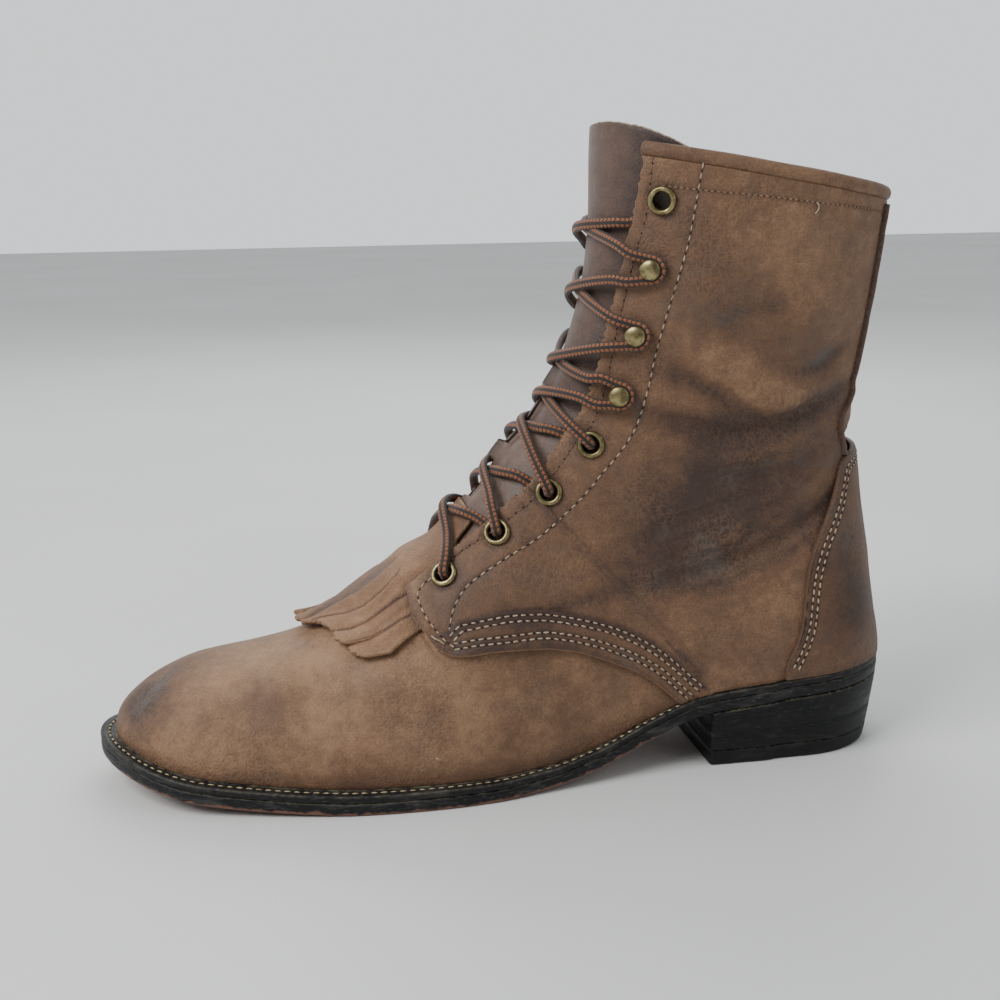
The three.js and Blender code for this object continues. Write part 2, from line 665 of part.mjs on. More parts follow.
// The loop of a strand round the back of a hook, from below it to above it
const hookBase = 1; // thickness of the hook's foot
const hookFoot = quarterStep + clearance + 0.1;
const hookTurn = 4.2; // lace centre from the hook's axis
function hookLoop(hook, side) {
  const place = surface(hook.station, radians(hook.swing) * side);
  const ahead = surface(hook.station + 0.02, radians(hook.swing) * side).at.sub(place.at).normalize();
  const back = new THREE.Vector3().crossVectors(ahead, place.out).multiplyScalar(side);
  const height = hookFoot + hookBase + laceRadius + 2 * clearance;
  const corners = [[-1, -1.1], [-1.05, 0.2], [0, 1.1], [1.05, 0.2], [1, -1.1]];
  return corners.map(([up, rear]) => lifted(place, height)
    .addScaledVector(ahead, up * hookTurn)
    .addScaledVector(back, rear * hookTurn));
}
function upperStrand(side) {
  const last = eyeletTable[3];
  const route = [spotAt(last.station, -side * (last.swing - 6), overQuarter + 0.8)];
  let turn = side;
  hookTable.forEach((hook, k) => {
    const before = k === 0 ? last.station : hookTable[k - 1].station;
    const overEdge = (share, way) => spotAt(
      lerp(before, hook.station, share), way * (throat(hook.station) - 4), overTongue + 4.3);
    route.push(overEdge(0.25, -turn));
    route.push(spotAt(lerp(before, hook.station, 0.5), 0, overTongue + 1));
    route.push(overEdge(0.78, turn));
    route.push(...hookLoop(hook, turn));
    turn = -turn;
  });
  const top = hookTable[2].station;
  route.push(spotAt(top + 0.12, -turn * (throat(top) - 5), overTongue + 3.9));
  route.push(spotAt(top + 0.15, 0, overTongue + 1));
  route.push(spotAt(top + 0.19, turn * (throat(top) - 7), overTongue + 0.6));
  return route;
}
function upperLaces() {
  const strands = Object.values(sides).map((side) => tube(upperStrand(side), laceRadius, 42));
  return Manifold.union(strands);
}

// Hardware turned about its own axis, seated on the quarter
function turned(profile, place) {
  const points = profile.map(([radius, height]) => new THREE.Vector2(radius, height));
  const geometry = new THREE.LatheGeometry(points, fittingSides).rotateX(Math.PI / 2);
  return fromGeometry(geometry.applyMatrix4(facingTurn(place)));
}
function eyeletSolid(spot, side) {
  const seat = quarterStep + clearance + 0.25;
  const barrel = eyeletHole + eyeletTube;
  const low = -wall - 0.2;
  const profile = [
    [eyeletHole, low], [barrel, low], [barrel, seat], [eyeletFlange, seat],
    [eyeletFlange - 0.6, seat + eyeletHeight], [eyeletHole + 0.5, seat + eyeletHeight], [eyeletHole, low],
  ];
  return turned(profile, onSide(spot, side));
}
const hookRadius = 3.6;
const hookStem = 1.5;
function hookSolid(spot, side) {
  const neck = hookFoot + hookBase;
  const cap = neck + 2 * laceRadius + 4 * clearance;
  const profile = [
    [0, hookFoot], [hookRadius, hookFoot], [hookRadius, neck - 0.2], [hookStem, neck],
    [hookStem, cap], [hookRadius, cap + 0.3], [hookRadius * 0.75, cap + 1.3], [0, cap + 1.7],
  ];
  return turned(profile, onSide(spot, side));
}

// Sole: one outline from the feather line, offset outward or inward
const marginTable = [
  { along: 0, margin: 5.9 },
  { along: 0.3, margin: 5.6 },
  { along: 0.5, margin: 4 },
  { along: 0.7, margin: 2.9 },
  { along: 1, margin: 2.2 },
];
const soleMargin = curve(marginTable, 'along', 'margin');
const outlineSteps = 36;
function featherLoop() {
  const half = (side) => ramp(outlineSteps, (t) => {
    const x = lerp(toePoint, heelPoint, (1 - Math.cos(Math.PI * t)) / 2);
    const middle = middleOf(x) * clamp(1.4 * (1 - alongOf(x)), 0, 1);
    if (t === 0 || t === 1) return new THREE.Vector2(x, middle);
    const origin = new THREE.Vector3(x, middle, featherHeight(x) - 0.01);
    const edge = shoot(origin, new THREE.Vector3(0, -side, 0));
    return new THREE.Vector2(x, edge.y);
  });
  return [...half(1), ...half(-1).reverse().slice(1, -1)];
}
const feather = featherLoop();
function offsetLoop(marginAt) {
  return feather.map((point, i) => {
    const count = feather.length;
    const before = feather[(i + count - 1) % count];
    const after = feather[(i + 1) % count];
    const run = after.clone().sub(before).normalize();
    const out = new THREE.Vector2(run.y, -run.x);
    return point.clone().addScaledVector(out, marginAt(alongOf(point.x)));
  });
}
const soleOutline = offsetLoop(soleMargin);
// Both sides of a loop as rungs from toe to heel
function rungs(loop) {
  const last = outlineSteps;
  return ramp(last).map((_, i) => [loop[i], loop[(loop.length - i) % loop.length]]);
}
function ladder(steps, low, high, highSteps = steps) {
  const points = [];
  const rail = (outline, height) => outline.map(([a, b]) => {
    const first = points.push(new THREE.Vector3(a.x, a.y, height(a.x))) - 1;
    if (a === b) return [first, first];
    return [first, points.push(new THREE.Vector3(b.x, b.y, height(b.x))) - 1];
  });
  const bottom = rail(steps, low);
  const top = rail(highSteps, high);
  const triangles = [];
  const quad = (a, b, c, d) => {
    if (a !== b && b !== c && a !== c) triangles.push([a, b, c]);
    if (a !== c && c !== d && a !== d) triangles.push([a, c, d]);
  };
  const ends = steps.length - 1;
  for (let i = 0; i < ends; i += 1) {
    quad(top[i][0], top[i + 1][0], top[i + 1][1], top[i][1]);
    quad(bottom[i][0], bottom[i][1], bottom[i + 1][1], bottom[i + 1][0]);
    quad(top[i][0], bottom[i][0], bottom[i + 1][0], top[i + 1][0]);
    quad(top[i][1], top[i + 1][1], bottom[i + 1][1], bottom[i][1]);
  }
  quad(top[0][0], top[0][1], bottom[0][1], bottom[0][0]);
  quad(top[ends][0], bottom[ends][0], bottom[ends][1], top[ends][1]);
  return solidOf(points, triangles);
}
const outsoleTop = (x) => underside(x) + outsoleThickness;
const weltBase = (x) => outsoleTop(x) + clearance;
function outsoleSolid() {
  return ladder(rungs(soleOutline), underside, outsoleTop);
}
function weltSolid() {
  const inside = offsetLoop(() => -weltBearing);
  const count = feather.length;
  const points = [];
  const corner = (loop, lift) => loop
    .map((p) => points.push(new THREE.Vector3(p.x, p.y, weltBase(p.x) + lift)) - 1);
  const corners = [
    corner(soleOutline, 0), corner(soleOutline, weltThickness),
    corner(inside, weltThickness), corner(inside, 0),
  ];
  const triangles = [];
  corners.forEach((near, k) => {
    const far = corners[(k + 1) % corners.length];
    for (let i = 0; i < count; i += 1) {
      const next = (i + 1) % count;
      triangles.push([near[i], near[next], far[next]], [near[i], far[next], far[i]]);
    }
  });
  return solidOf(points, triangles);
}
function insoleSolid() {
  const loop = offsetLoop(() => -weltBearing - insoleGap);
  return ladder(rungs(loop), weltBase, (x) => featherHeight(x) + 1);
}

// Heel: blocks under the sole's rear, leaning in toward the floor
const breast = toeTip + 0.742 * bootLength;
const heelLean = { back: 4, side: 2.5 }; // at the floor
function heelRungs(height) {
  const top = underside(breast);
  const full = rungs(soleOutline);
  const first = full.findIndex(([a]) => a.x > breast);
  const cut = full[first - 1].map((p, side) => p.clone().lerp(full[first][side],
    (breast - p.x) / (full[first][side].x - p.x)));
  const back = full[full.length - 1][0].x;
  const lean = 1 - height / top;
  return [cut, ...full.slice(first)].map(([a, b]) => {
    const moved = (p) => new THREE.Vector2(
      p.x - heelLean.back * lean * (p.x - breast) / (back - breast),
      p.y * (1 - heelLean.side * lean / 33),
    );
    const left = moved(a);
    return [left, a === b ? left : moved(b)];
  });
}
function heelLayer(low, high) {
  return ladder(heelRungs(low(breast)), low, high, heelRungs(high(breast)));
}
function heelBlockSolid() {
  return heelLayer(() => topLiftThickness + clearance, (x) => underside(x) - clearance);
}
function topLiftSolid() {
  return heelLayer(() => 0, () => topLiftThickness);
}

// Materials
const material = (color, roughness, metalness = 0) => new THREE.MeshStandardMaterial({
  color, roughness, metalness,
});
const materials = {
  upper: material('#70543f', 0.75),
  counter: material('#664a38', 0.75),
  tongue: material('#6b5848', 0.7),
  kiltie: material('#7d6046', 0.8),
  trim: material('#6a4d39', 0.7),
  lace: material('#3a2620', 0.85),
  brass: material('#8a7a4c', 0.4, 0.8),
  sole: material('#2e2c2e', 0.6),
  welt: material('#3a3430', 0.65),
  heel: material('#333236', 0.6),
  insole: material('#9b7c5c', 0.85),
};
function mesh(name, solid, look) {
  const { vertProperties, triVerts, numProp } = solid.getMesh();
  const geometry = new THREE.BufferGeometry();
  const positions = [];
  for (let i = 0; i < vertProperties.length; i += numProp) {
    positions.push(vertProperties[i], vertProperties[i + 1], vertProperties[i + 2]);
  }
  geometry.setAttribute('position', new THREE.Float32BufferAttribute(positions, 3));
  geometry.setIndex([...triVerts]);
  geometry.computeVertexNormals();
  const result = new THREE.Mesh(geometry, look);
  result.name = name;
  return result;
}

const boot = new THREE.Group();
boot.add(
  mesh('outsole', outsoleSolid(), materials.sole),
  mesh('welt', weltSolid(), materials.welt),
  mesh('insole', insoleSolid(), materials.insole),
  mesh('heel_block', heelBlockSolid(), materials.heel),
  mesh('top_lift', topLiftSolid(), materials.heel),
  mesh('upper', upperSolid(), materials.upper),
  mesh('heel_counter', counterSolid(), materials.counter),
  mesh('back_piping', pipingSolid(), materials.trim),
  mesh('collar_roll', rollSolid(), materials.trim),
  mesh('tongue', tongueSolid(), materials.tongue),
  mesh('kiltie', kiltieSolid(), materials.kiltie),
  mesh('lace_upper', upperLaces(), materials.lace),
);
lowerLaces().forEach((solid, k) => boot.add(mesh(`lace_cross_${k + 1}`, solid, materials.lace)));
Object.entries(sides).forEach(([word, side]) => {
  eyeletTable.forEach((spot, k) => {
    boot.add(mesh(`eyelet_${word}_${k + 1}`, eyeletSolid(spot, side), materials.brass));
  });
  hookTable.forEach((spot, k) => {
    boot.add(mesh(`hook_${word}_${k + 1}`, hookSolid(spot, side), materials.brass));
  });
});

// The origin goes to the middle of the box, on the floor
const box = new THREE.Box3().setFromObject(boot);
const centre = box.getCenter(new THREE.Vector3());
boot.position.set(-centre.x, -centre.y, -box.min.z);

export default boot;
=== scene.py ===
# A left western kiltie boot: leather, laces, fittings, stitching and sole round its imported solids.
import math

import bmesh
import bpy
import numpy as np
from mathutils import Matrix, Vector


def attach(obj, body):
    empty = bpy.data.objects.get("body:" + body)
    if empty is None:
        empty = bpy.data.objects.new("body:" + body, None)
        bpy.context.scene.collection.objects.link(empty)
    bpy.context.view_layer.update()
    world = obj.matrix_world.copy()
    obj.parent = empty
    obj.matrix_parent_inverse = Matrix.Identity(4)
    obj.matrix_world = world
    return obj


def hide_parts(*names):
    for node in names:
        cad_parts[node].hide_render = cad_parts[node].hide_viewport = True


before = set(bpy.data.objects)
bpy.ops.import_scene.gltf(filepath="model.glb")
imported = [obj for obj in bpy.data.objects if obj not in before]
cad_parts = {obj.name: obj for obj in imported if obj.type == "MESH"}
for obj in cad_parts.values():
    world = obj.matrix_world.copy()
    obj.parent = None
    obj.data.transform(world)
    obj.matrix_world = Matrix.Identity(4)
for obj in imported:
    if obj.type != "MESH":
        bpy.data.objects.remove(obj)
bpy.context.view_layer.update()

MM = 0.001
BODY = "root"
source_origin = np.array([-0.0002, 0.6145, 0.0])  # of the part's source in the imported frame, mm

# Camera
camera_place = np.array([-92.0, -495.6, 219.5])
camera_turn = {"yaw": 10.55, "down": 13.32, "roll": -0.74}  # degrees
focal_share = 1.377  # focal length in image widths


def add_object(name, data):
    made = bpy.data.objects.new(name, data)
    bpy.context.collection.objects.link(made)
    return made


def add_camera():
    yaw, down, roll = (math.radians(camera_turn[name]) for name in ("yaw", "down", "roll"))
    ahead = Vector((math.sin(yaw) * math.cos(down), math.cos(yaw) * math.cos(down), -math.sin(down)))
    level = Vector((math.cos(yaw), -math.sin(yaw), 0.0))
    upright = level.cross(ahead)
    right = level * math.cos(roll) + upright * math.sin(roll)
    up = -level * math.sin(roll) + upright * math.cos(roll)
    data = bpy.data.cameras.new("camera")
    data.sensor_width = 36.0
    data.lens = focal_share * data.sensor_width
    camera = add_object("camera", data)
    turn = Matrix((right, up, -ahead)).transposed().to_4x4()
    camera.matrix_world = Matrix.Translation((camera_place + source_origin) * MM) @ turn
    bpy.context.scene.camera = camera


add_camera()

# Driving sizes, as in the part's source, mm
boot_length = 304.0
ball_width = 87.0
instep_height = 104.0
shaft_height = 214.0
shaft_width = 84.0
toe_spring = 11.5
heel_height = 21.6
wall = 2.2
quarter_step = 1.3
outsole_thickness = 4.6
welt_thickness = 2.8
top_lift_thickness = 6.0
tongue_thickness = 2.0
tongue_face = -wall - 1.2
kiltie_thickness = 1.8
kiltie_lift = 0.9
counter_thickness = 1.3
piping_width = 3.0
piping_thickness = 1.4
roll_radius = 2.5
clearance = 0.3
plates = outsole_thickness + welt_thickness + 2 * clearance
blend_depth = 14.0

SOLE = ("along", "toe", "heel"), [
    (0.00, 1.00, 0), (0.04, 0.77, 0), (0.10, 0.45, 0), (0.17, 0.22, 0), (0.24, 0.08, 0),
    (0.31, 0, 0), (0.45, 0, 0), (0.53, 0, 0.065), (0.60, 0, 0.29), (0.66, 0, 0.62),
    (0.735, 0, 1.00), (0.80, 0, 1.10), (1.00, 0, 1.32),
]
FOOT = ("along", "middle", "lateral", "medial", "ridge", "fullness"), [
    (0.02, 0.103, 0.345, 0.310, 0.190, 2.3), (0.07, 0.103, 0.414, 0.328, 0.253, 2.3),
    (0.12, 0.098, 0.454, 0.345, 0.303, 2.3), (0.19, 0.086, 0.500, 0.379, 0.362, 2.25),
    (0.25, 0.075, 0.534, 0.408, 0.416, 2.2), (0.30, 0.069, 0.557, 0.420, 0.490, 2.15),
    (0.36, 0.069, 0.575, 0.420, 0.625, 2.1), (0.41, 0.069, 0.580, 0.402, 0.764, 2.05),
    (0.465, 0.063, 0.563, 0.374, 0.903, 2), (0.52, 0.057, 0.523, 0.339, 0.990, 2),
    (0.58, 0.046, 0.477, 0.316, 0.993, 2), (0.66, 0.034, 0.420, 0.310, 0.871, 2),
    (0.74, 0.023, 0.374, 0.310, 0.675, 2), (0.80, 0.011, 0.333, 0.299, 0.512, 2),
]
SHAFT = ("up", "front", "back", "widest", "lateral", "medial", "fullness"), [
    (0.093, 0.651, 0.990, 0.868, 0.387, 0.375, 2.25), (0.168, 0.632, 0.989, 0.872, 0.393, 0.381, 2.25),
    (0.257, 0.599, 0.975, 0.875, 0.405, 0.393, 2.2), (0.350, 0.566, 0.965, 0.868, 0.399, 0.387, 2.15),
    (0.421, 0.539, 0.958, 0.855, 0.387, 0.375, 2.1), (0.481, 0.520, 0.953, 0.829, 0.375, 0.369, 2.1),
    (0.537, 0.520, 0.949, 0.813, 0.375, 0.369, 2.1), (0.617, 0.543, 0.946, 0.789, 0.387, 0.381, 2.1),
    (0.696, 0.566, 0.951, 0.783, 0.405, 0.399, 2.1), (0.771, 0.582, 0.959, 0.789, 0.429, 0.423, 2.1),
    (0.855, 0.597, 0.969, 0.796, 0.452, 0.446, 2.1), (0.958, 0.604, 0.975, 0.803, 0.482, 0.476, 2.1),
    (1.047, 0.605, 0.982, 0.806, 0.500, 0.494, 2.1), (1.121, 0.607, 0.985, 0.806, 0.506, 0.500, 2.1),
]
MARGIN = ("along", "margin"), [(0, 5.9), (0.3, 5.6), (0.5, 4.0), (0.7, 2.9), (1, 2.2)]
toe_start = 0.0195
toe_round = 0.115
foot_end = 0.8
toe_tip = -boot_length / 2
heel_middle_x = toe_tip + 0.83 * boot_length
heel_radius = 0.14 * boot_length


def lerp(a, b, share):
    return a + (b - a) * share


def smooth(low, high, value):
    share = np.clip((value - low) / (high - low), 0, 1)
    return share * share * (3 - 2 * share)


def curve(at, value, samples=1600):
    """A smooth curve through a column of a table, without overshoot, ready for whole arrays."""
    at = np.asarray(at, float)
    value = np.asarray(value, float)
    step = np.diff(at)
    rise = np.diff(value) / step
    slope = np.zeros(len(at))
    slope[0], slope[-1] = rise[0], rise[-1]
    for i in range(1, len(at) - 1):
        if rise[i - 1] * rise[i] > 0:
            total = 3 * (step[i - 1] + step[i])
            slope[i] = total / ((2 * step[i] + step[i - 1]) / rise[i - 1]
                                + (step[i] + 2 * step[i - 1]) / rise[i])
    t = np.linspace(at[0], at[-1], samples)
    i = np.clip(np.searchsorted(at, t, side="right") - 1, 0, len(at) - 2)
    s = (t - at[i]) / step[i]
    held = (1 + 2 * s) * (1 - s) ** 2 * value[i] + s * s * (3 - 2 * s) * value[i + 1]
    turned = s * (1 - s) ** 2 * slope[i] - s * s * (1 - s) * slope[i + 1]
    line = held + step[i] * turned
    return lambda where: np.interp(where, t, line)


def curve_of(rows):
    return curve(*zip(*rows))


def run_along(points):
    """How far each point of a line is from its start."""
    return np.concatenate([[0], np.cumsum(np.linalg.norm(np.diff(points, axis=0), axis=1))])


def curves(table):
    names, rows = table
    columns = list(zip(*rows))
    return {name: curve(columns[0], columns[k]) for k, name in enumerate(names) if k}


sole = curves(SOLE)
foot = curves(FOOT)
shaft = curves(SHAFT)
sole_margin = curves(MARGIN)["margin"]


def along_of(x):
    return (x - toe_tip) / boot_length


def underside(x):
    return sole["toe"](along_of(x)) * toe_spring + sole["heel"](along_of(x)) * heel_height


def feather_height(x):
    return underside(x) + plates


def middle_of(x):
    return foot["middle"](np.clip(along_of(x), toe_start, foot_end)) * ball_width


def nose_of(along):
    rest = 1 - np.clip((along - toe_start) / toe_round, 0, 1)
    return np.sqrt(np.maximum(1 - rest * rest, 0)) + 1e-4


def ridge_of(x):
    return foot["ridge"](along_of(x)) * instep_height * nose_of(along_of(x)) ** 0.8


# The last as one function: negative inside
def foot_field(x, y, z):
    along = along_of(x)
    share = np.clip(along, toe_start, foot_end)
    middle = foot["middle"](share) * ball_width
    side = np.where(y < middle, foot["lateral"](share), foot["medial"](share))
    nose = nose_of(share)
    half = side * ball_width * nose
    ridge = foot["ridge"](share) * instep_height * nose ** 0.8
    power = foot["fullness"](share)
    across = np.abs(y - middle) / half
    above = np.maximum(z - feather_height(x), 0) / ridge
    body = ((across ** power + above ** power) ** (1 / power) - 1) * np.minimum(half, ridge)
    return np.maximum(np.maximum(body, (toe_start - along) * boot_length), (along - foot_end) * boot_length)


def shaft_field(x, y, z):
    up = z / shaft_height
    along = along_of(x)
    widest = shaft["widest"](up)
    reach = np.where(along < widest, widest - shaft["front"](up), shaft["back"](up) - widest)
    half = np.where(y < 0, shaft["lateral"](up), shaft["medial"](up)) * shaft_width
    power = shaft["fullness"](up)
    lengthwise = np.abs(along - widest) / reach
    return ((lengthwise ** power + (np.abs(y) / half) ** power) ** (1 / power) - 1) * half


def field(x, y, z):
    a = foot_field(x, y, z)
    b = shaft_field(x, y, z)
    near = np.maximum(blend_depth - np.abs(a - b), 0) / blend_depth
    return np.minimum(a, b) - near * near * blend_depth / 4


def unit(vectors):
    return vectors / np.maximum(np.linalg.norm(vectors, axis=-1, keepdims=True), 1e-12)


def outward(points):
    e = 0.4  # mm to either side
    x, y, z = points[..., 0], points[..., 1], points[..., 2]
    slope = np.stack([
        field(x + e, y, z) - field(x - e, y, z),
        field(x, y + e, z) - field(x, y - e, z),
        field(x, y, z + e) - field(x, y, z - e),
    ], -1)
    return unit(slope)


def shoot(origin, direction, steps=26):
    """Where rays from inside the last leave it."""
    low = np.zeros(origin.shape[:-1])
    high = np.full(origin.shape[:-1], boot_length / 2)
    for _ in range(steps):
        reach = (low + high) / 2
        point = origin + direction * reach[..., None]
        inside = field(point[..., 0], point[..., 1], point[..., 2]) < 0
        low = np.where(inside, reach, low)
        high = np.where(inside, high, reach)
    return origin + direction * low[..., None]


# Stations: 0 to 1 toe to ball upright, 1 to 3 a fan over the instep, 3 to 4 up the shaft.
# Swing is the angle round from the ridge in degrees, outer side plus.
pivot_x = toe_tip + 0.352 * boot_length
pivot_z = 0.771 * shaft_height
fan_end = math.radians(80)
core_drop = (0.631 * shaft_height, 0.668 * shaft_height)
collar_run = 0.349 * shaft_height
toe_crowding = 1.8
toe_point = toe_tip + toe_start * boot_length + 0.05
heel_ray = np.array([[toe_tip + 0.87 * boot_length, 0, heel_height * 1.3 + plates]])
heel_point = shoot(heel_ray, np.array([[1.0, 0, 0]]), 40)[0, 0]
seat_angle = math.atan2(heel_point - pivot_x, pivot_z - float(feather_height(heel_point)))
core_share = (pivot_z - core_drop[0] - float(feather_height(pivot_x))) / float(ridge_of(pivot_x))


def station_frame(station):
    station = np.asarray(station, float)
    toe_x = lerp(toe_point, pivot_x, np.clip(station, 0, 1) ** toe_crowding)
    upright = np.stack([toe_x, middle_of(toe_x), feather_height(toe_x) + core_share * ridge_of(toe_x)], -1)
    angle = np.where(station <= 2, seat_angle * (station - 1),
                     lerp(seat_angle, fan_end, np.clip(station - 2, 0, 1)))
    angle = np.maximum(angle, 0)
    share = angle / fan_end
    drop = lerp(core_drop[0], core_drop[1], share)
    rise = np.maximum(station - 3, 0) * collar_run
    x = pivot_x + np.sin(angle) * drop
    fanned = np.stack([
        x + np.cos(angle) * rise,
        middle_of(x) * np.maximum(0, 1 - 1.2 * share),
        pivot_z - np.cos(angle) * drop + np.sin(angle) * rise,
    ], -1)
    in_toe = (station <= 1)[..., None]
    ridgeward = np.stack([-np.sin(angle), np.zeros_like(angle), np.cos(angle)], -1)
    return np.where(in_toe, upright, fanned), np.where(in_toe, np.array([0.0, 0, 1]), ridgeward)


def on_last(station, swing):
    """Places on the last and their outward normals."""
    station, swing = np.broadcast_arrays(np.asarray(station, float), np.asarray(swing, float))
    origin, ridgeward = station_frame(station)
    turn = np.radians(swing)[..., None]
    sideways = np.zeros(3)
    sideways[1] = -1.0
    at = shoot(origin, ridgeward * np.cos(turn) + sideways * np.sin(turn))
    return at, outward(at)


def spot(station, swing, lift=0.0):
    at, out = on_last(station, swing)
    return at + out * np.asarray(lift, float)[..., None]


def edge_swing(station, side):
    """The swing at which a station meets the welt, or half a turn behind the seat."""
    station = np.atleast_1d(np.asarray(station, float))
    origin, ridgeward = station_frame(station)
    low = np.zeros(len(station))
    high = np.full(len(station), boot_length)
    for _ in range(40):
        reach = (low + high) / 2
        feather = feather_height(origin[:, 0] - ridgeward[:, 0] * reach)
        above = origin[:, 2] - ridgeward[:, 2] * reach > feather
        low = np.where(above, reach, low)
        high = np.where(above, high, reach)
    floor_point = origin - ridgeward * low[:, None]
    edge = shoot(floor_point, np.broadcast_to(np.array([0.0, -side, 0.0]), floor_point.shape))
    swing = 180 - np.degrees(np.arctan2(np.abs(edge[:, 1] - origin[:, 1]), low))
    return np.where(station >= 2, 180.0, swing)


edge_table = np.concatenate([np.linspace(0.001, 1, 120), 2 - np.linspace(1, 0, 220)[1:] ** 2])
edge_lines = {side: edge_swing(edge_table, side) for side in (1, -1)}


def edge_of(station, side):
    return np.interp(station, edge_table, edge_lines[side])


def around_heel(height, bearing):
    """Places round the heel and shaft by height and bearing from straight back, outer side plus."""
    height, bearing = np.broadcast_arrays(np.asarray(height, float), np.radians(np.asarray(bearing, float)))
    origin = np.stack([np.full(height.shape, heel_middle_x), np.zeros(height.shape), height], -1)
    at = shoot(origin, np.stack([np.cos(bearing), -np.sin(bearing), np.zeros(height.shape)], -1))
    return at, outward(at)


# Noise, distances and patches
def lumps(points, size, seed):
    """Smooth random relief between -1 and 1 at a size in mm."""
    lattice = np.random.default_rng(seed).uniform(-1, 1, (24, 24, 24))
    cell = np.asarray(points) / size + 400.37
    base = np.floor(cell).astype(int)
    f = cell - base
    f = f * f * (3 - 2 * f)
    total = 0.0
    for dx in (0, 1):
        for dy in (0, 1):
            for dz in (0, 1):
                weight = (np.where(dx, f[..., 0], 1 - f[..., 0]) * np.where(dy, f[..., 1], 1 - f[..., 1])
                          * np.where(dz, f[..., 2], 1 - f[..., 2]))
                corner = lattice[(base[..., 0] + dx) % 24, (base[..., 1] + dy) % 24, (base[..., 2] + dz) % 24]
                total = total + weight * corner
    return total


def smooth_line(rows, pitch=0.6, soften=0.0):
    """A route of (station, swing) knots made into evenly spaced pairs on a smooth curve."""
    knots = np.array(rows, float)
    reach = spot(knots[:, 0], knots[:, 1])
    run = run_along(reach)
    count = max(int(run[-1] / pitch), 4)
    t = np.linspace(0, run[-1], count + 1)
    line = np.stack([curve(run, knots[:, k], 800)(t) for k in (0, 1)], -1)
    if soften:
        width = int(soften / pitch)
        kernel = np.hanning(2 * width + 1)
        kernel /= kernel.sum()
        padded = np.concatenate([2 * line[:1] - line[width:0:-1], line,
                                 2 * line[-1:] - line[-2:-width - 2:-1]])
        line = np.stack([np.convolve(padded[:, k], kernel, "valid") for k in (0, 1)], -1)
    return line


def dent(distance, width):
    return np.exp(-(distance / width) ** 2)


# Meshes
class Pile:
    """Vertices, faces and painted values that become one mesh."""

    def __init__(self):
        self.points, self.faces, self.slots = [], [], []
        self.paint = {"tone": [], "raw": []}
        self.count = 0

    def add(self, points, faces, slot=0, tone=0.0, raw=0.0):
        points = np.asarray(points).reshape(-1, 3)
        faces = np.asarray(faces)
        self.points.append(points)
        self.faces.append(faces + self.count)
        self.slots.append(np.full(len(faces), slot))
        for name, value in (("tone", tone), ("raw", raw)):
            self.paint[name].append(np.broadcast_to(np.asarray(value, float).reshape(-1), (len(points),)))
        start = self.count
        self.count += len(points)
        return start

    def piece(self, name, finishes, merge=0.004, solid=False):
        """One mesh, its doubles merged and any small opening closed; a solid's faces are turned outward."""
        points = (np.concatenate(self.points) + source_origin) * MM
        mesh = bpy.data.meshes.new(name)
        faces = [face for group in self.faces for face in group.tolist()]
        mesh.from_pydata(points.tolist(), [], faces)
        slots = np.concatenate(self.slots)
        mesh.polygons.foreach_set("material_index", slots.astype(np.int32))
        for key, values in self.paint.items():
            layer = mesh.attributes.new(key, "FLOAT", "POINT")
            layer.data.foreach_set("value", np.concatenate(values).astype(np.float32))
        for finish in finishes:
            mesh.materials.append(finish)
        tidy = bmesh.new()
        tidy.from_mesh(mesh)
        bmesh.ops.remove_doubles(tidy, verts=tidy.verts, dist=merge * MM)
        flat = [face for face in tidy.faces if face.calc_area() < 1e-12]
        bmesh.ops.delete(tidy, geom=flat, context="FACES_ONLY")
        bmesh.ops.holes_fill(tidy, edges=[edge for edge in tidy.edges if edge.is_boundary], sides=0)
        for face in tidy.faces:
            face.smooth = True
        if solid:
            bmesh.ops.recalc_face_normals(tidy, faces=tidy.faces)
        tidy.to_mesh(mesh)
        tidy.free()
        return add_object(name, mesh)


def grid_quads(rows, columns):
    ids = np.arange(rows * columns).reshape(rows, columns)
    return np.stack([ids[:-1, :-1], ids[:-1, 1:], ids[1:, 1:], ids[1:, :-1]], -1)


def ring_quads(rows, columns):
    """Quads between closed rings of points."""
    ids = np.arange(rows * columns).reshape(rows, columns)
    ids = np.concatenate([ids, ids[:, :1]], 1)
    return np.stack([ids[:-1, :-1], ids[:-1, 1:], ids[1:, 1:], ids[1:, :-1]], -1).reshape(-1, 4)


def punch(layers, kept, holes):
    """Opens round holes in a grid: quads inside go, and the grid is drawn onto the rim."""
    outer = layers[0]
    rows, columns = outer.shape[:2]
    for centre, axis, radius in holes:
        middle = (outer[:-1, :-1] + outer[1:, 1:]) / 2 - centre
        height = middle @ axis
        reach = np.linalg.norm(middle - height[..., None] * axis, axis=-1)
        gone = (reach < radius) & (np.abs(height) < 12)
        kept &= ~gone
        touched = np.zeros((rows, columns), bool)
        whole = np.ones((rows, columns), bool)
        for di in (0, 1):
            for dj in (0, 1):
                touched[di:rows - 1 + di, dj:columns - 1 + dj] |= gone
                whole[di:rows - 1 + di, dj:columns - 1 + dj] &= gone
        rim = touched & ~whole
        for layer in layers:
            away = layer - centre
            along_axis = (away @ axis)[..., None] * axis
            layer[rim] = (centre + along_axis + unit(away - along_axis) * radius)[rim]


